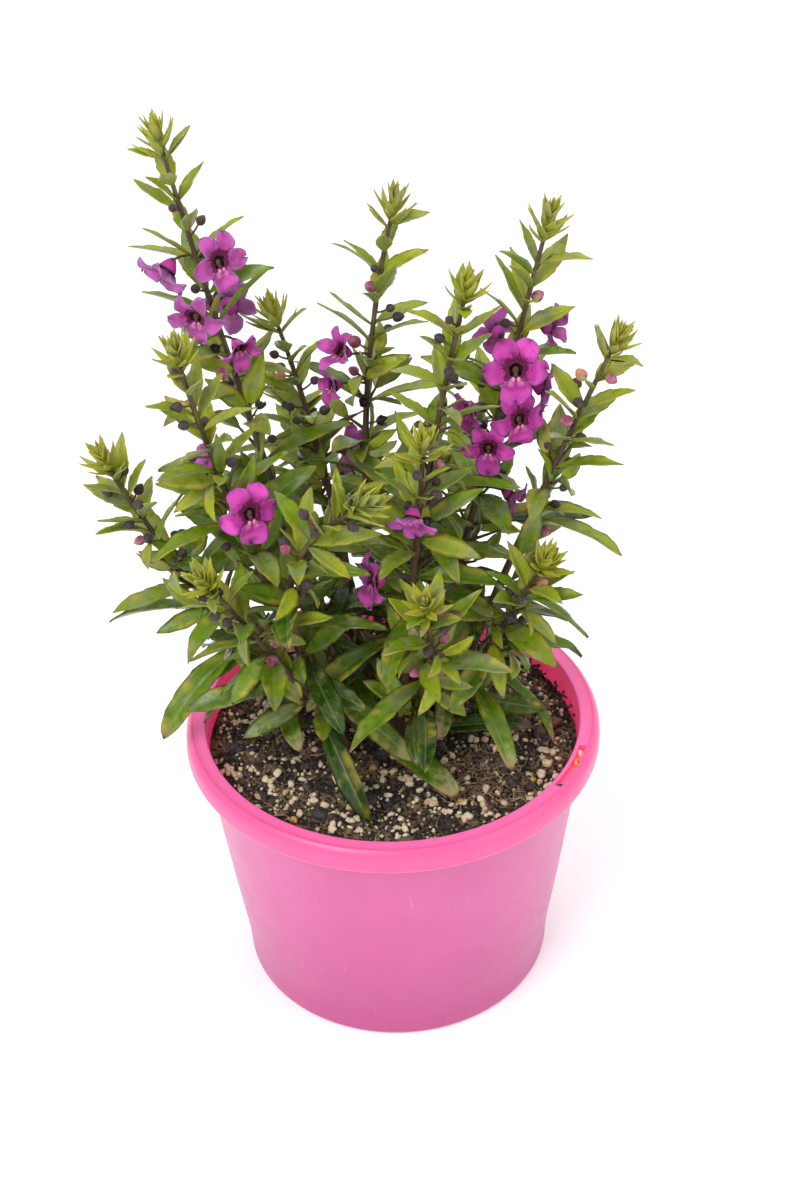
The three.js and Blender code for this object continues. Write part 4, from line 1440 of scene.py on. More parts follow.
@dataclass(frozen=True)
class PotFinish:
    """Glossy pink plastic: a saturated rim over a milky, faintly scratched wall."""

    # Mostly red light passes into the thin wall
    THIN: ClassVar[dict[str, object]] = {
        "Subsurface_Radius": (1.0, 0.25, 0.45),
        "Subsurface_Scale": 2.5 * WALL * MM,
    }
    rim: Colour = (0.88, 0.108, 0.325)
    # Painted light: the rim's inner band is painted lighter against the shade that falls on it
    rim_inner_painted_light: Colour = (0.97, 0.19, 0.50)
    # Painted highlight along the rim's lower edge
    rim_edge_painted_highlight: Colour = (0.90, 0.30, 0.47)
    wall: Colour = (0.59, 0.094, 0.290)
    milky_wall: Colour = (0.67, 0.130, 0.355)
    # Painted shade low on the wall
    low_wall_painted_shade: Colour = (0.46, 0.058, 0.222)
    inner: Colour = (0.91, 0.135, 0.27)
    # Painted glow: an emission that stands in for light coming through the thin wall
    glow: Colour = (0.85, 0.050, 0.175)
    glow_strength: float = 0.4  # light that comes through the thin wall
    # Painted glow on the rim's inner band
    rim_glow: float = 0.16
    dust: Colour = (0.06, 0.03, 0.025)
    scratch: Colour = (0.90, 0.42, 0.60)
    speck: Colour = (0.30, 0.09, 0.15)

    def outside(self) -> Material:
        """Returns the rim's and the outer wall's material, with painted light, highlight and shade.

        Returns:
            The material.
        """
        graph = Graph(
            "pot_pink", self.wall, IOR=1.49, Coat_Weight=0.12, Coat_Roughness=0.2, Subsurface_Weight=0.25,
            Emission_Color=self.glow, **self.THIN,
        )
        cloud = graph.noise(26.0, 3)
        graph.paint(self.milky_wall, graph.scaled(graph.band(cloud, 0.35, 0.7), 0.3, 0.65))
        height = graph.height()
        # Painted shade: the wall is painted darker towards its foot
        graph.paint(self.low_wall_painted_shade, (height, 0.075, 0.0), 0.7)
        graph.paint(self.rim, (height, 0.0973, 0.0983))
        # Painted highlight: a light line along the rim's lower edge
        graph.paint(self.rim_edge_painted_highlight, (height, 0.0980, 0.0985), (height, 0.0996, 0.0990), 0.55)
        # Painted light: the rim's inner band is painted lighter and given a faint glow, against the shade
        # that falls on it
        inner = graph.share((graph.radius(), 0.0722, 0.0712), (height, 0.1055, 0.1065))
        graph.paint(self.rim_inner_painted_light, inner, 0.7)
        graph.feed(graph.shader.inputs["Emission Strength"], graph.times(inner, self.rim_glow))
        scuffs = graph.band(graph.noise(1.6, 5, (1, 1, 0.05)), 0.68, 0.75)
        lines = graph.band(graph.noise(2.4, 5, (0.06, 0.06, 1)), 0.70, 0.76)
        marks = graph.times(graph.math("MAXIMUM", scuffs, graph.times(lines, 0.5)), 0.2)
        graph.paint(self.scratch, marks)
        graph.paint(self.speck, (graph.cells(9.0), 0.05, 0.03), 0.5)
        graph.bump(graph.plus(marks, graph.times(cloud, 0.3)), 0.08, 0.5)
        return graph.dress(graph.scaled(graph.noise(7.0, 4), 0.26, 0.46))

    def inside(self) -> Material:
        """Returns the inner wall's material, deeper in colour, dusty near the mix, with a painted glow.

        Returns:
            The material.
        """
        # The emission is a painted glow for light that comes through the thin wall
        graph = Graph(
            "pot_inner_red_pink", self.inner, IOR=1.49, Subsurface_Weight=0.3,
            Emission_Strength=self.glow_strength, Emission_Color=self.glow, **self.THIN,
        )
        uneven = graph.scaled(graph.noise(8.0, 2), -0.007, 0.007)
        low = graph.band(graph.plus(graph.height(), uneven), 0.1015, 0.095)
        graph.paint(self.dust, low, (graph.noise(2.2, 5), 0.38, 0.58), 0.75)
        graph.bump(graph.noise(3.0, 3), 0.1, 0.4)
        return graph.dress(0.42)


@dataclass(frozen=True)
class MixFinish:
    """Potting mix: near-black peat, cream perlite, bark, pale fibres and amber prills."""

    peat: Colour = (0.010, 0.008, 0.007)
    earth: Colour = (0.105, 0.080, 0.054)
    tan: Colour = (0.30, 0.21, 0.105)
    stone: Colour = (0.80, 0.70, 0.49)
    stained: Colour = (0.46, 0.35, 0.18)
    bark_dark: Colour = (0.030, 0.025, 0.027)
    bark_grey: Colour = (0.105, 0.080, 0.080)
    bark_light: Colour = (0.20, 0.122, 0.078)
    fibre_colour: Colour = (0.44, 0.32, 0.16)
    amber: Colour = (0.72, 0.48, 0.10)
    amber_dark: Colour = (0.35, 0.16, 0.03)

    def bed(self) -> Material:
        """Returns the loose peat's material.

        Returns:
            The material.
        """
        graph = Graph("peat_black", self.peat)
        lumps = graph.noise(1.3, 5)
        graph.paint(self.earth, (lumps, 0.42, 0.72))
        graph.paint(self.tan, (graph.noise(9.0, 3), 0.45, 0.6), (lumps, 0.4, 0.58), 0.8)
        crumbs = graph.band(graph.cells(1.8), 0.22, 0.12)
        graph.paint(self.stained, crumbs, (graph.noise(5.0, 2), 0.46, 0.58), 0.75)
        graph.bump(graph.plus(lumps, graph.noise(0.5, 3)), 0.9, 1.0)
        return graph.dress(graph.scaled(lumps, 1.0, 0.75))

    def perlite(self) -> Material:
        """Makes the perlite's material.

        Returns:
            The material.
        """
        graph = Graph("perlite_cream", self.stone)
        _, chance, _ = graph.tone()
        dirt = graph.noise(1.1, 4)
        graph.paint(self.stained, (dirt, 0.36, 0.66), (chance, 0.0, 0.8))
        graph.paint(self.bark_light, (chance, 0.8, 1.0))
        graph.paint(self.earth, (graph.noise(0.6, 2), 0.66, 0.74))
        graph.bump(dirt, 0.3, 1.0)
        return graph.dress(0.85)

    def bark(self) -> Material:
        """Makes the bark's material, grey-black lumps or reddish chips by their own share.

        Returns:
            The material.
        """
        graph = Graph("bark_brown", self.bark_dark)
        _, chance, _ = graph.tone()
        grain = graph.noise(0.9, 5, (1, 0.3, 1))
        graph.paint(self.bark_grey, (grain, 0.35, 0.75))
        graph.paint(self.bark_light, (chance, 0.45, 0.9), (grain, 0.2, 0.6))
        graph.bump(grain, 0.6, 1.0)
        return graph.dress(graph.scaled(grain, 0.9, 0.6))

    def fibre(self) -> Material:
        """Makes the fibres' and rootlets' material.

        Returns:
            The material.
        """
        graph = Graph("fibre_straw", self.bark_light)
        _, chance, _ = graph.tone()
        graph.paint(self.fibre_colour, chance)
        graph.bump(graph.noise(0.6, 2), 0.1, 0.6)
        return graph.dress(0.8)

    def prill(self) -> Material:
        """Makes the amber feed prills' material."""
        return speckled("prill_amber", self.amber, self.amber_dark, 1.5, 0.32)


# Sub-assemblies


@dataclass
class Pot:
    """The squat moulded pot with its rolled rim, label slot and drain holes."""

    turns: int = 180
    corner_steps: int = 5
    slot_bearings: Pair = (-37, -17.6)
    slot_radius: float = 70.3
    slot_width: float = 2.6
    slot_depth: float = 2.4
    slot_steps: int = 12
    holes: int = 6
    hole_faces: int = 32
    hole_ring: float = 40
    hole_radius: float = 4
    crease: float = 0.26
    dull_from: float = 1.2  # how far under the rim's top the inside's finish begins
    margin: float = 0.2  # how far off its measures a face still counts as the slot's
    sharp_from: float = 38  # degrees between faces
    finish: PotFinish = field(default_factory=PotFinish)

    def outline(self) -> list[Pair]:
        """Returns the wall's closed section from the underside's middle round to the floor's middle.

        Returns:
            The radius and height of each corner.
        """
        outer = [(r, z, reach) for (r, z), reach in zip(WALL_OUTLINE, (0.8, 5, 14, 0.5))]
        inner = [(inner_radius(z), z, reach) for z, reach in ((RIM_FOOT, 3), (41, 14), (12, 5), (FLOOR, 1.5))]
        rim = [
            (RIM_RADIUS - 1.1, RIM_FOOT - 0.1, 0.5), (RIM_RADIUS, RIM_FOOT + 1.2, 0.8),
            (RIM_RADIUS - 0.3, RIM_FOOT + 6.4, 2.0), (RIM_RADIUS - 2.2, POT_HEIGHT, 1.6),
            (RIM_RADIUS - 3.4, POT_HEIGHT, 1.0), (RIM_RADIUS - 4.6, POT_HEIGHT - self.crease, 1.0),
            (RIM_INNER_RADIUS + 0.5, POT_HEIGHT - self.crease, 0.5),
            (RIM_INNER_RADIUS, POT_HEIGHT - 1.6, 0.6),
        ]
        foot = [(0, 0, 0), (FOOT_RADIUS - 1.2, 0, 0.6)]
        return self.rounded([*foot, *outer, *rim, *inner, (0, FLOOR, 0)])

    def rounded(self, corners: list[Triple]) -> list[Pair]:
        """Returns an outline whose corners are rounded over each one's own reach.

        Args:
            corners: each corner's radius, height and reach.

        Returns:
            The radius and height of each point.
        """
        points = [corners[0][:2]]
        for before, corner, after in zip(corners, corners[1:], corners[2:]):
            middle = np.array(corner[:2])
            ends = []
            for other in (before, after):
                line = np.array(other[:2]) - middle
                length = float(np.linalg.norm(line))
                ends.append(line / length * min(corner[2], 0.45 * length))
            for step in range(self.corner_steps + 1):
                share = step / self.corner_steps
                points.append(tuple(middle + ends[0] * (1 - share) ** 2 + ends[1] * share**2))
        return [*points, corners[-1][:2]]

    def cutter(self) -> Shape:
        """Returns the drain holes' cylinders and the label slot's arc, for cutting out of the shell.

        Returns:
            The shape, in millimetres.
        """
        bm = bmesh.new()
        for hole in range(self.holes):
            turn = FULL_TURN * (hole + 0.5) / self.holes
            place = Matrix.Translation((self.hole_ring * math.cos(turn), self.hole_ring * math.sin(turn), 0))
            bmesh.ops.create_cone(
                bm, cap_ends=True, segments=self.hole_faces, radius1=self.hole_radius,
                radius2=self.hole_radius, depth=4 * FLOOR, matrix=place,
            )
        low, high = (math.radians(bearing) for bearing in self.slot_bearings)
        start = Matrix.Rotation(low, 3, "Z")
        floor = POT_HEIGHT - self.slot_depth
        section = [
            bm.verts.new(start @ Vector((self.slot_radius + side * self.slot_width / 2, 0, z)))
            for side, z in ((-1, floor), (1, floor), (1, POT_HEIGHT + 1), (-1, POT_HEIGHT + 1))
        ]
        face = bm.faces.new(section)
        turn = high - low
        bmesh.ops.spin(bm, geom=[face], cent=(0, 0, 0), axis=UP, angle=turn, steps=self.slot_steps)
        bmesh.ops.recalc_face_normals(bm, faces=bm.faces)
        return bm

    def build(self) -> None:
        """Cuts the shell, gives the inside its own finish and hands the pot over."""
        shell = placed("pot_shell", in_metres("pot_shell", spun(self.outline(), self.turns)))
        cutter = placed("pot_cutter", in_metres("pot_cutter", self.cutter()))
        cut = shell.modifiers.new("cut", "BOOLEAN")
        cut.object = cutter
        cut.operation = "DIFFERENCE"
        cut.solver = "EXACT"
        mesh = bpy.data.meshes.new_from_object(shell.evaluated_get(bpy.context.evaluated_depsgraph_get()))
        mesh.name = "pot_body"
        for helper in (shell, cutter):
            bpy.data.objects.remove(helper)
        mesh.materials.clear()
        hand_over("pot_body", mesh, Slot.POT, (self.finish.outside(), self.finish.inside()), ("pot",))
        for face in mesh.polygons:
            x, y, z = face.center / MM
            out, bearing = math.hypot(x, y), math.degrees(math.atan2(y, x))
            facing = face.normal.x * x + face.normal.y * y
            inner = facing < -1e-3 * out and out < RIM_INNER_RADIUS + 2 and z < POT_HEIGHT - self.dull_from
            floor = face.normal.z > 0.5 and z < 10
            slot = (
                self.slot_bearings[0] - 1 < bearing < self.slot_bearings[1] + 1
                and abs(out - self.slot_radius) < (self.slot_width + self.margin) / 2
                and -self.slot_depth - self.margin < z - POT_HEIGHT < -self.crease - self.margin
            )
            face.material_index = int(inner or floor or slot)
        mesh.set_sharp_from_angle(angle=math.radians(self.sharp_from))


@dataclass
class PottingMix:
    """The mix: a lumpy bed of peat with perlite, bark, fibres and prills on it."""

    forms: Forms
    turns: int = 240
    rings: int = 54
    over_floor: float = 0.32
    grains: int = 330
    crumbs: int = 1250
    chips: int = 90
    clods: int = 170
    strands: int = 380
    stuck: int = 150
    stuck_bearing: float = 38.0
    prills: int = 5
    # How far from the middle things may lie
    bed_reach: float = 64.5
    grain_reach: float = 64.0
    crumb_reach: float = 65.0
    bark_reach: float = 61.5
    strand_reach: float = 59.0
    prill_reach: float = 58.0
    straw_share: float = 0.74
    seen_prill: Pair = (49.2, -25.3)
    straw_patch: Triple = (30.0, -25.0, 17.0)  # middle and reach
    slot_grains: tuple[Triple, ...] = ((64.0, -28.9, 105.8), (66.0, -24.2, 105.7))
    slot_grit: Triple = (57.3, -40.6, 105.5)
    # Middle, reach and count of the perlite clusters that the photograph shows
    clusters: tuple[tuple[float, float, float, int], ...] = (
        (-56.4, 11.8, 6.0, 12), (-54.3, -13.7, 6.5, 12), (-42.5, -22.3, 5.0, 7), (-33.4, -34.9, 5.0, 8),
        (-17.5, -45.4, 7.0, 12), (-5.9, -27.7, 7.5, 12), (-2.0, -9.4, 6.0, 8), (43.4, 11.3, 7.5, 11),
        (60.0, 11.0, 4.0, 5), (30.6, -8.0, 5.0, 5), (8.3, -25.6, 6.0, 12), (19.0, -41.8, 7.0, 14),
        (33.0, -40.0, 5.0, 9), (18.6, -16.3, 6.0, 6), (56.0, -15.0, 5.0, 7), (52.4, -26.0, 4.0, 5),
        (0.0, -50.0, 7.0, 9),
    )
    # Middle, half length and share of red of the lumps and chips that stand out in the photograph
    seen_bark: tuple[tuple[float, float, float, float], ...] = (
        (-26.3, -40.9, 4.3, 0.1), (-8.8, -34.9, 3.8, 0.2), (-56.9, -4.1, 3.6, 0.1), (-46.6, -29.6, 3.4, 0.0),
        (-17.2, -5.0, 3.0, 0.1), (39.2, -15.6, 5.0, 0.95), (57.0, 5.0, 4.4, 1.0), (53.6, -1.2, 3.0, 0.9),
    )
    finish: MixFinish = field(default_factory=MixFinish)

    def height(self, x: float, y: float) -> float:
        """Returns the height of the loose bed, with its clods and crumbs.

        Args:
            x: the place across.
            y: the place away from the viewer.

        Returns:
            The height.
        """
        place = Vector((x, y, 0))
        lumps = ((1.3, 4.6), (0.9, 1.9), (0.35, 0.8))
        return float(soil_height(x, y)) + sum(high * noise.noise(place / size) for high, size in lumps)

    def bed(self) -> None:
        """Spins the bed's section round and raises its top into clods."""
        edge = inner_radius(SOIL_TOP - SOIL_EDGE) - SOIL_CLEAR
        top = [(edge * ring / self.rings, SOIL_TOP) for ring in range(self.rings + 1)]
        base = FLOOR + self.over_floor
        sides = [(inner_radius(z) - SOIL_CLEAR, z) for z in (90.0, 41.0, 12.0, base)]
        bm = spun((*top, *sides, (0, base)), self.turns)
        for vertex in bm.verts:
            if abs(vertex.co.z - SOIL_TOP) < 1e-3:
                vertex.co.z = self.height(vertex.co.x, vertex.co.y)
        hand_over("mix_bed", in_metres("mix_bed", bm), Slot.MIX, (self.finish.bed(),), ("soil",))

    def lay(
        self, piece: Piece, form: Form, place: Sequence[float], size: Vec, turn: Vec, seed: float,
        rough: float, share: float,
    ) -> None:
        """Adds an irregular stone.

        Args:
            piece: the piece that it goes into.
            form: the unit ball or block.
            place: its middle.
            size: its half sizes.
            turn: its rotation.
            seed: what sets its lumps apart from the next stone's.
            rough: how lumpy it is.
            share: its own share, which sets its tone.
        """
        offset = Vector((seed * 7.3, seed * 3.1, seed * 5.7))
        lumps = [1 + rough * noise.noise(Vector(point) * 1.3 + offset) for point in form.points]
        corners = (form.points * np.array(lumps)[:, None] * size) @ turn.T
        piece.add(form, corners + np.array(place), 0, (0.5, share))

    def over(self, x: float, y: float, above: float) -> Vec:
        """Returns the point that is some millimetres over the loose bed."""
        return np.array((x, y, self.height(x, y) + above))

    def scatter(self, draws: Draws, reach: float) -> Pair:
        """Returns a random place on the bed within a reach of the middle.

        Args:
            draws: the random numbers.
            reach: the greatest distance from the middle.

        Returns:
            The place.
        """
        out = reach * math.sqrt(draws.share())
        turn = FULL_TURN * draws.share()
        return out * math.cos(turn), out * math.sin(turn)

    def perlite(self) -> None:
        """Scatters perlite in loose clusters, and crumbs of all tones between, half sunk in the bed."""
        piece = Piece("mix_perlite", Slot.MIX, (self.finish.perlite(),))
        draws = Draws(PERLITE_SEED)
        ball, crumb = self.forms.ball, self.forms.crumb
        spots = [self.scatter(draws, self.grain_reach) for _ in range(self.grains)]
        for x, y, reach, count in self.clusters:
            near = (self.scatter(draws, reach) for _ in range(count))
            spots += [(x + dx, y + dy) for dx, dy in near]
        for x, y in spots:
            if math.hypot(x, y) > self.bed_reach:
                continue
            size = 0.75 + 1.2 * draws.share() ** 1.5
            shape = size * np.array((1, draws.between(0.5, 0.85), draws.between(0.5, 0.75)))
            turn, seed = self.lying(draws), draws.between(0, 90)
            self.lay(piece, ball, self.over(x, y, 0.3 * size), shape, turn, seed, 0.42, 0.75 * draws.share())
        for _ in range(self.crumbs):
            x, y = self.scatter(draws, self.crumb_reach)
            size = draws.between(0.22, 0.8)
            turn, seed, share = draws.turn(), draws.between(0, 90), draws.between(0.5, 1.0)
            self.lay(piece, crumb, self.over(x, y, 0.2 * size), np.full(3, size), turn, seed, 0.8, share)
        white = np.array((1.7, 1.0, 0.8))
        self.lay(piece, ball, self.slot_grains[1], white, draws.turn(), 5.0, 0.4, 0.0)
        piece.finish()

    def lying(self, draws: Draws) -> Vec:
        """Returns the rotation of a grain that lies nearly flat."""
        turn = Matrix.Rotation(FULL_TURN * draws.share(), 3, "Z")
        return np.array(turn @ Matrix.Rotation(0.5 * draws.spread(), 3, "Y"))

    def splashes(self, piece: Piece, draws: Draws) -> None:
        """Sticks crumbs of mix to the wall, most of them at the back and the right.

        Args:
            piece: the bark's piece.
            draws: the random numbers.
        """
        crumb = self.forms.crumb
        for _ in range(self.stuck):
            bearing = math.radians(self.stuck_bearing + 95 * draws.spread() * abs(draws.spread()))
            height = SOIL_TOP - 0.8 + 4.0 * draws.share() ** 2
            size = draws.between(0.3, 0.8)
            out = inner_radius(min(height, RIM_FOOT)) - 0.7 * size - 0.5
            place = np.array((out * math.cos(bearing), out * math.sin(bearing), height))
            turn, seed, share = draws.turn(), draws.between(0, 90), draws.between(0.2, 0.9)
            self.lay(piece, crumb, place, np.full(3, size), turn, seed, 0.8, share)

    def bark(self) -> None:
        """Lays dark lumps and a few flat bark chips on the bed."""
        piece = Piece("mix_bark", Slot.MIX, (self.finish.bark(),))
        draws = Draws(BARK_SEED)
        lots = list(self.seen_bark)
        for number in range(self.chips + self.clods):
            length = draws.between(0.9, 2.4) if number % 9 else draws.between(2.4, 3.6)
            red = draws.between(0.3, 1.0) if number < self.chips else draws.between(0, 0.5)
            lots.append((*self.scatter(draws, self.bark_reach), length, red))
        for x, y, length, red in lots:
            flat = red > 0.5
            form = self.forms.chip if flat else self.forms.ball
            thick = draws.between(0.18, 0.3) if flat else draws.between(0.45, 0.7)
            shape = length * np.array((1, draws.between(0.45, 0.8), thick))
            place, turn = self.over(x, y, 0.15 * length * thick), self.lying(draws)
            self.lay(piece, form, place, shape, turn, draws.between(0, 90), 0.8, red)
        grit = np.array((1.7, 1.1, 0.6))
        self.lay(piece, self.forms.ball, self.slot_grit, grit, self.lying(draws), 3.0, 0.6, 0.0)
        self.splashes(piece, draws)
        piece.finish()

    def fibres(self) -> None:
        """Strews thin bent fibres over the bed, most of them in a patch of straw."""
        piece = Piece("mix_fibres", Slot.MIX, (self.finish.fibre(),))
        draws = Draws(FIBRE_SEED)
        patch_x, patch_y, reach = self.straw_patch
        for _ in range(self.strands):
            if draws.share() < self.straw_share:
                x, y = self.scatter(draws, reach)
                x, y = x + patch_x, y + patch_y
                length = draws.between(1.5, 5)
            else:
                x, y = self.scatter(draws, self.strand_reach)
                length = draws.between(2.5, 10)
            turn = FULL_TURN * draws.share()
            start = self.over(x, y, 0.3)
            x2, y2 = x + length * math.cos(turn), y + length * math.sin(turn)
            if math.hypot(x2, y2) > self.grain_reach:
                continue
            end = self.over(x2, y2, 0.3) + UP * draws.share()
            sag = np.array((draws.spread(), draws.spread(), 0.8 * draws.share())) * 0.16 * length
            radius = draws.between(0.1, 0.3)
            places = stalk_places(self.forms.stalk, start, end, (radius, 0.6 * radius), sag)
            piece.add(self.forms.stalk, places, 0, (0.5, draws.share()))
        piece.finish()

    def feed(self) -> None:
        """Drops a few amber prills, the one that the photograph shows and the one in the label slot first."""
        piece = Piece("mix_prills", Slot.MIX, (self.finish.prill(),))
        draws = Draws(PRILL_SEED)
        ball = self.forms.ball
        piece.add(ball, ball.points * 1.2 + np.array(self.slot_grains[0]))
        others = (self.scatter(draws, self.prill_reach) for _ in range(self.prills - 1))
        for x, y in [self.seen_prill, *others]:
            piece.add(ball, ball.points * draws.between(1.1, 1.5) + self.over(x, y, 0.9))
        piece.finish()

    def build(self) -> None:
        """Makes the bed and all that lies on it."""
        self.bed()
        self.perlite()
        self.bark()
        self.fibres()
        self.feed()


class Part(IntEnum):
    """The finishes of a shoot's piece, by number."""

    STEM = 0
    LEAF = 1
    BUD = 2


@dataclass
class Foliage:
    """Dresses one shoot: ribbed stem, veined leaves, sprigs, head, buds, calyces and fine hairs."""

    forms: Forms
    finishes: tuple[Material, ...]
    shoot: Shoot
    root_depth: float = 6.0
    hairs: int = 260
    hair_length: float = 0.9
    hair_radius: float = 0.06
    hairs_from: float = 0.35  # share of the stem
    slimmer: float = 0.22
    # Pairs of young leaves in the head: how far over the stem's end, angle from it and length
    young_pairs: tuple[Triple, ...] = (
        (-2.2, 66, 12.5), (-0.6, 58, 12.0), (1.6, 44, 10.5), (2.6, 34, 10.0), (3.8, 26, 9.0), (4.8, 18, 8.0),
        (5.6, 11, 7.0), (6.2, 6, 5.6),
    )

    def __post_init__(self) -> None:
        """Starts the shoot's piece and its random numbers."""
        self.piece = Piece(f"leafy_{self.shoot.name}", Slot.FOLIAGE, self.finishes)
        self.draws = Draws(*FOLIAGE_SEEDS, self.shoot.order)

    def build(self) -> None:
        """Makes the shoot's piece, which stands for its node."""
        shoot = self.shoot
        self.stem()
        for blade in shoot.leaves:
            self.leaf(blade, self.forms.leaf)
        for sprig in shoot.sprigs:
            if sprig.leaves:
                end = sprig.root + sprig.direction * sprig.length
                self.stalk(sprig.root, end, (0.75, 0.4), np.zeros(3))
            for blade in sprig.leaves:
                self.leaf(blade, self.forms.small_leaf)
        self.head()
        for bud in shoot.buds:
            self.bud(bud)
        for flower in shoot.flowers:
            self.stalk(flower.root, flower.back, (0.5, 0.45), UP * 0.06 * flower.plan.pedicel)
            self.sepals(flower.back - flower.face * 0.5, flower.face, 4.6 * flower.plan.size)
        self.down()
        self.piece.finish(f"shoot_{shoot.name}")

    def stem(self) -> None:
        """Sweeps the stem up its path, square-shouldered and swollen where leaf pairs stand."""
        shoot = self.shoot
        form = self.forms.stem
        share = form.points[:, 2]
        start = -self.root_depth / shoot.stem.length
        along = start + (1.02 - start) * share
        turn = np.arctan2(form.points[:, 1], form.points[:, 0])
        radius = STEM_FOOT_RADIUS + (STEM_TIP_RADIUS - STEM_FOOT_RADIUS) * along
        joints = np.array([blade.age for blade in shoot.leaves])
        nearest = np.abs(along[:, None] - joints[None, :]).min(axis=1) * shoot.stem.length
        radius = radius * (1 - self.slimmer * smooth(along, 0.1, 0.9)) * (1 + 0.07 * np.cos(4 * turn))
        radius = radius * (1 + 0.2 * np.exp(-((nearest / 1.5) ** 2)))
        places = tube_places(form, shoot.stem.at(along), shoot.stem.along(along), radius)
        self.piece.add(form, places, Part.STEM)

    def leaf(self, blade: Blade, form: Form) -> None:
        """Adds one leaf: blunt and strap-like low on the shoot, pointed higher up.

        Args:
            blade: the leaf's arc.
            form: the unit blade.
        """
        draws = self.draws
        low = 1 - min(blade.age * 1.35, 1)
        shape = LeafShape(
            widest=0.44 + 0.16 * low,
            base_taper=1.0,
            tip_power=1.7 + 1.3 * low,
            tip_taper=0.95 - 0.42 * low,
            teeth=draws.between(4, 6),
            tooth_depth=0.16 - 0.1 * low,
            relief=0.005 * blade.length,
            wave=0.016 * blade.length,
            fullness=draws.between(1.05, 1.22) - 0.3 * low,
            twist=math.radians(28) * draws.spread(),
            fold=draws.between(FOLD, 2.6 * FOLD),
        )
        places = shape.places(form, blade, draws.share())
        self.piece.add(form, places, Part.LEAF, (blade.age, draws.share()))

    def stalk(self, start: Vec, end: Vec, radii: Pair, sag: Vec) -> None:
        """Adds a thin stalk from start to end, with the radius at each end, that bows by sag."""
        form = self.forms.stalk
        self.piece.add(form, stalk_places(form, start, end, radii, sag), Part.STEM)

    def head(self) -> None:
        """Adds the star of bracts and the young leaves closed round its middle."""
        shoot, draws = self.shoot, self.draws
        shape = LeafShape(
            widest=0.38, tip_power=1.5, tip_taper=1, teeth=3, tooth_depth=0.06, wave=0.1, relief=0.08,
            fullness=0.88,
        )
        along = shoot.stem.along(1.0)
        young = list(shoot.bracts)
        for pair, (above, pitch, length) in enumerate(self.young_pairs):
            origin = shoot.stem.tip + along * above
            for half in (0, 180):
                out = outward(along, half + 90 * pair + shoot.TURN * shoot.order + 10 * draws.spread())
                direction = between(along, out, pitch + 5 * draws.spread())
                normal = between(along, out, pitch - 90)
                size = length * (1 + 0.1 * draws.spread())
                young.append(Blade(origin, direction, normal, size, 0.11 * size + 0.42, -26, 1.0))
        for blade in young:
            places = shape.places(self.forms.small_leaf, blade, draws.share())
            self.piece.add(self.forms.small_leaf, places, Part.LEAF, (1.0, draws.share()))
        core = self.forms.ball
        spire = core.points * np.array((1.3, 1.3, 4.6)) @ standing(along)
        self.piece.add(core, shoot.stem.tip + along * 4.6 + spire, Part.LEAF, (1.0, 0.2))

    def sepals(self, base: Vec, along: Vec, size: float) -> None:
        """Adds five pointed sepals that close round a base.

        Args:
            base: where they grow from.
            along: the direction that they close towards.
            size: their length.
        """
        shape = LeafShape(widest=0.4, tip_taper=1, teeth=0, tooth_depth=0, wave=0, relief=0, groove=0.05)
        for side in range(5):
            out = outward(along, 72 * side + 10 * self.draws.spread())
            blade = Blade(base, *leaned(along, out, 58), size, 0.28 * size, -62)
            places = shape.places(self.forms.sepal, blade, 0)
            self.piece.add(self.forms.sepal, places, Part.BUD, (0.9, 0.3))

    def bud(self, bud: Bud) -> None:
        """Adds a bud on its thin pedicel, held by sepals, or a spent calyx, open round its small capsule.

        Args:
            bud: the bud.
        """
        along = unit(bud.centre - bud.root)
        neck = bud.centre - along * 0.8 * bud.radius
        self.stalk(bud.root, neck, (0.42, 0.34), UP * -0.08 * np.linalg.norm(neck - bud.root))
        ball = self.forms.ball.points
        pointed = 1 + 0.45 * np.clip(ball[:, 2], 0, 1) ** 3
        chance = self.draws.share()
        opening = 1.12 if chance > BudFinish.coloured else 0.92
        size = bud.radius * (0.6 if bud.spent else opening)
        turned = np.column_stack((ball[:, 0], ball[:, 1], ball[:, 2] * pointed)) * size
        places = bud.centre + turned @ standing(along)
        self.piece.add(self.forms.ball, places, Part.BUD, (0.9, 0.5 if bud.spent else chance))
        self.sepals(neck, along, (2.6 if bud.spent else 1.35) * bud.radius)

    def down(self) -> None:
        """Adds the fine hairs on the upper half of the stem."""
        shoot, draws, form = self.shoot, self.draws, self.forms.hair
        for _ in range(self.hairs):
            share = draws.between(self.hairs_from, 1.0)
            along = shoot.stem.along(share)
            out = unit(outward(along, 360 * draws.share()) + along * 0.35 * draws.spread())
            radius = STEM_FOOT_RADIUS + (STEM_TIP_RADIUS - STEM_FOOT_RADIUS) * share
            across = unit(np.cross(out, along))
            frame_rows = np.array((across, np.cross(out, across), out))
            size = np.array((self.hair_radius, self.hair_radius, self.hair_length * draws.between(0.6, 1.2)))
            root = shoot.stem.at(share) + out * radius * 0.9
            self.piece.add(form, (form.points * size) @ frame_rows + root, Part.STEM)


class Tissue(IntEnum):
    """The finishes of a bloom's piece, by number."""

    UPPER = 0
    SIDE = 1
    LOWER = 2
    THROAT = 3
    LIP = 4
    BOSS = 5


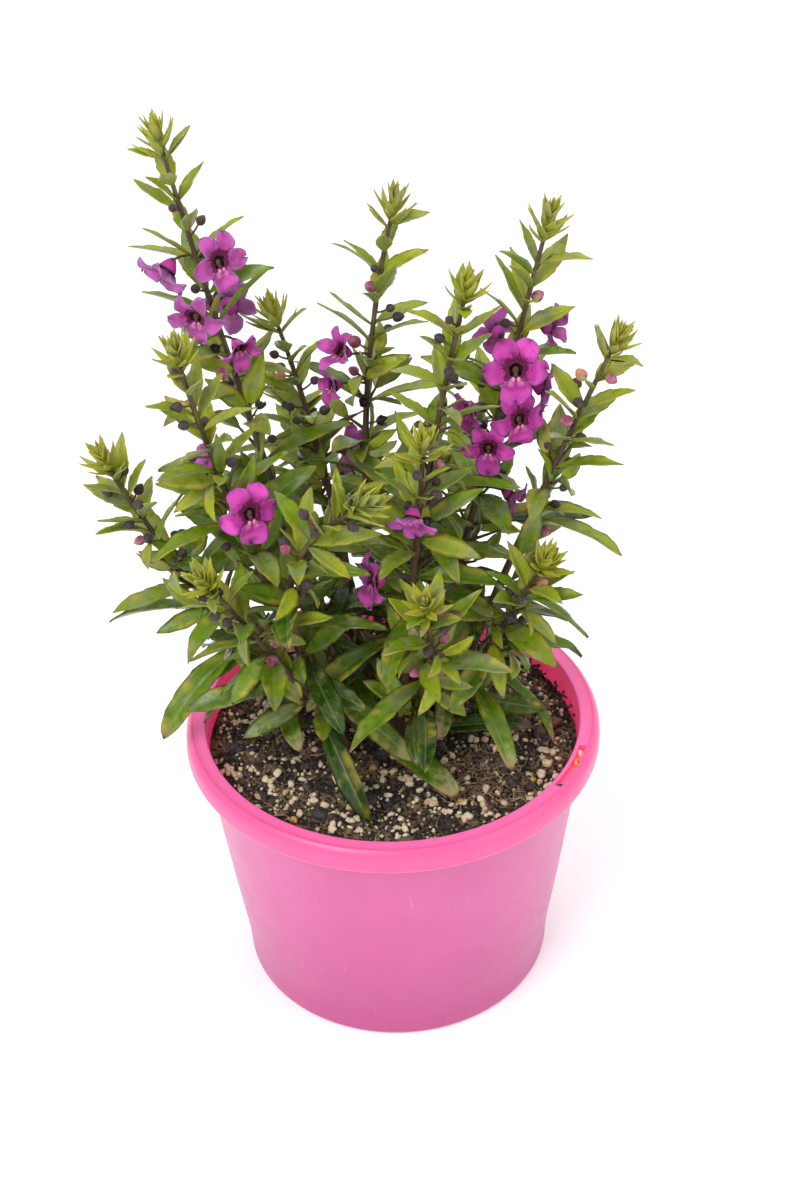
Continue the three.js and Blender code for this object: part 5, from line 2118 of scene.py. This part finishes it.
@dataclass
class Bloom:
    """Dresses one flower: five waved lobes round a pouched, dark-throated cup."""

    LOWER: ClassVar[int] = 4
    # A lobe's form, as shares of its width or its length
    CLAW: ClassVar[float] = 0.64
    RAGGED: ClassVar[float] = 0.045
    NOTCH: ClassVar[float] = 0.03
    CUPPED: ClassVar[float] = 0.13
    TURNED_BACK: ClassVar[float] = 0.17
    WAVES: ClassVar[Pair] = (0.05, 0.045)
    # And in millimetres and degrees
    GROOVE: ClassVar[float] = 0.3
    THICKNESS: ClassVar[float] = 0.14
    TWIST: ClassVar[float] = 26
    forms: Forms
    finishes: tuple[Material, ...]
    flower: Flower
    # The cup's section from its back over the lip and down into the throat, as radius and height
    section: tuple[Pair, ...] = (
        (0.3, -6.0), (1.7, -5.4), (2.6, -4.2), (3.2, -3.0), (3.5, -2.2), (3.6, -1.6), (3.4, -1.35),
        (3.1, -1.6), (2.9, -2.4), (2.4, -3.2), (1.5, -3.9), (0.4, -4.2),
    )

    def __post_init__(self) -> None:
        """Starts the flower's piece, its random numbers and its own directions."""
        flower = self.flower
        self.piece = Piece(f"flower_{flower.number:02d}", Slot.PETALS, self.finishes)
        self.draws = Draws(*FLOWER_SEEDS, flower.number)
        self.rows = np.array((flower.side, flower.rise, flower.face))

    def build(self) -> None:
        """Makes the flower's piece, which stands for its node."""
        opened = self.flower.plan.opened
        fade = min(max(1.15 - opened + 0.35 * self.draws.spread(), 0), 1)
        form = self.forms.petal
        for number, blade in enumerate(self.flower.lobes()):
            finish = Tissue.LOWER if number == self.LOWER else Tissue.SIDE if number > 1 else Tissue.UPPER
            places = self.lobe(form, blade, number == self.LOWER)
            self.piece.add(form, places, finish, (fade, self.draws.share()))
        self.cup()
        self.lip()
        self.piece.finish(self.flower.name)

    def lobe(self, form: Form, blade: Blade, lowest: bool) -> Vec:
        """Returns a lobe's corners: a narrow claw, then a round end, cupped, waved and turned back.

        Args:
            form: the unit blade.
            blade: the arc that the lobe follows.
            lowest: whether it is the broad lower lobe.

        Returns:
            The corners.
        """
        draws = self.draws
        x, share, face = form.points.T
        middle, up = blade.at(share)
        claw = self.CLAW + (1 - self.CLAW) * smooth(share, 0.0, 0.42)
        end = np.sqrt(np.clip(1 - (np.clip(share - 0.55, 0, 1) / 0.45) ** 2, 0.004, 1))
        uneven = 1 + self.RAGGED * np.sin(FULL_TURN * (1.5 * share + draws.share()) + 2.0 * x)
        notch = -self.NOTCH * np.exp(-((x / 0.3) ** 2)) * smooth(share, 0.8, 1) * lowest
        broad = 1.2 if lowest else 1.02
        reach = x * blade.half_width * broad * draws.between(0.9, 1.06) * claw * end * uneven
        first, second = draws.share(), draws.share()
        rise = self.CUPPED * blade.length * x * x * smooth(share, 0.1, 0.5)
        rise -= self.TURNED_BACK * blade.length * smooth(share, 0.5, 1) ** 2 * draws.between(0.2, 1.7)
        rise += self.WAVES[0] * blade.length * np.sin(FULL_TURN * (0.7 * x + first)) * smooth(share, 0.4, 1)
        rise += self.WAVES[1] * blade.length * np.sin(FULL_TURN * (1.8 * share + second)) * np.abs(x) ** 3
        rise -= self.GROOVE * np.exp(-((x / 0.2) ** 2)) * (1 - share)
        rise += self.THICKNESS * face
        turn = (math.radians(self.TWIST) * draws.spread() * share)[:, None]
        side = blade.side * np.cos(turn) + up * np.sin(turn)
        ahead = blade.direction * (notch * blade.length)[:, None]
        return middle + side * reach[:, None] + up * rise[:, None] + ahead

    def cup(self) -> None:
        """Adds the cup, pouched below, whose inner wall is dark."""
        form, flower, piece = self.forms.throat, self.flower, self.piece
        size = flower.plan.size
        share = form.points[:, 2]
        at = share * (len(self.section) - 1)
        places = np.arange(len(self.section))
        radius = np.interp(at, places, [r for r, _ in self.section])
        height = np.interp(at, places, [z for _, z in self.section])
        x, y = form.points[:, 0], form.points[:, 1]
        pouch = 1 + 0.28 * np.clip(-y, 0, 1) * np.exp(-((height + 2.6) / 2.0) ** 2)
        narrow = 0.72 + 0.28 * flower.plan.opened
        flat = np.column_stack((x * radius * narrow, y * radius * pouch * narrow, height)) * size
        start = len(piece.bm.verts)
        piece.add(form, flower.mouth + flat @ self.rows, Tissue.THROAT)
        layer = piece.bm.verts.layers.float_color[TONE]
        for vertex, inside in zip(piece.bm.verts[start:], share.tolist()):
            vertex[layer] = (inside, 0.5, 0, 1)

    def lip(self) -> None:
        """Adds the pale teeth where the lower lip meets the throat, and the olive boss in the throat."""
        size = self.flower.plan.size
        ball = self.forms.ball
        # Each one's place from the mouth (aside, up, forward), its size and its finish
        lumps = (
            (-0.85, -3.0, -0.75, 0.75, Tissue.LIP), (0.85, -3.0, -0.75, 0.75, Tissue.LIP),
            (0.0, -0.3, -1.9, 1.2, Tissue.BOSS), (0.0, -1.5, -1.3, 0.8, Tissue.BOSS),
        )
        for aside, up, ahead, scale, tissue in lumps:
            middle = self.flower.mouth + np.array((aside, up, ahead)) @ self.rows * size
            flat = ball.points * np.array((0.9, 1.1, 0.5)) * scale * size
            self.piece.add(ball, middle + flat @ self.rows, tissue)


@dataclass
class Studio:
    """A pale floor, soft studio light and the camera at the photograph's viewing angle."""

    AIM: ClassVar[Vector] = Vector((0, 0, 0.15))
    floor_half: float = 6.0
    lens: float = 60.0
    sensor_width: float = 36.0
    clip_start: float = 0.01
    # The camera's place in metres and its own directions
    place: Triple = (0.0, -0.5599, 0.5673)
    right: Triple = (0.9996, -0.0206, -0.0203)
    above: Triple = (0.0285, 0.5903, 0.8067)
    behind: Triple = (-0.0046, -0.8069, 0.5906)
    backdrop_strength: float = 0.68
    floor_glow: float = 0.2
    # Each lamp's name, place in metres, width and power
    lamps: tuple[tuple[str, Triple, float, float], ...] = (
        ("key_soft", (-0.55, -0.75, 1.15), 0.7, 10.5),
        ("fill_soft", (0.95, -0.55, 0.75), 0.9, 3.0),
        ("top_soft", (0.1, 0.5, 1.3), 0.8, 4.5),
    )

    def floor(self) -> None:
        """Lays the pale floor."""
        bm = bmesh.new()
        bmesh.ops.create_grid(bm, x_segments=1, y_segments=1, size=self.floor_half)
        mesh = bpy.data.meshes.new("studio_floor")
        bm.to_mesh(mesh)
        bm.free()
        graph = Graph(
            "studio_white", (0.90, 0.90, 0.90), Emission_Strength=self.floor_glow, Emission_Color=(1, 1, 1),
        )
        graph.paint((0.92, 0.92, 0.92), graph.noise(900.0, 1))
        mesh.materials.append(graph.dress(0.9))
        placed("studio_floor", mesh)

    def lights(self) -> None:
        """Hangs the soft square lights, which face the plant."""
        for name, place, size, power in self.lamps:
            data = bpy.data.lights.new(name, "AREA")
            data.size = size
            data.energy = power
            lamp = placed(name, data)
            lamp.location = place
            lamp.rotation_euler = (self.AIM - Vector(place)).to_track_quat("-Z", "Y").to_euler()

    def camera(self) -> None:
        """Sets up the camera as fitted to the photograph."""
        data = bpy.data.cameras.new("photo_camera")
        data.sensor_width = self.sensor_width
        data.lens = self.lens
        data.clip_start = self.clip_start
        camera = placed("photo_camera", data)
        rows = Matrix((self.right, self.above, self.behind)).transposed()
        camera.matrix_world = Matrix.Translation(self.place) @ rows.to_4x4()
        bpy.context.scene.camera = camera

    def build(self) -> None:
        """Sets the whole studio."""
        scene = bpy.context.scene
        scene.view_settings.view_transform = "Standard"
        world = bpy.data.worlds.new("studio")
        world.use_nodes = True
        backdrop = world.node_tree.nodes["Background"]
        backdrop.inputs["Color"].default_value = (1, 1, 1, 1)
        backdrop.inputs["Strength"].default_value = self.backdrop_strength
        scene.world = world
        self.floor()
        self.lights()
        self.camera()


def main() -> None:
    """Builds the studio, the pot, the mix, the foliage and the blooms, in that order."""
    logging.basicConfig(level=logging.INFO)
    Studio().build()
    forms = Forms()
    Pot().build()
    PottingMix(forms).build()
    leafy = (StemFinish().make(), LeafFinish().make(), BudFinish().make())
    petals = PetalFinish().all()
    for shoot in grow_plant():
        Foliage(forms, leafy, shoot).build()
        LOG.info("%s: %d leaves, %d buds", shoot.name, len(shoot.leaves), len(shoot.buds))
        for flower in shoot.flowers:
            Bloom(forms, petals, flower).build()


if __name__ == "__main__":
    main()
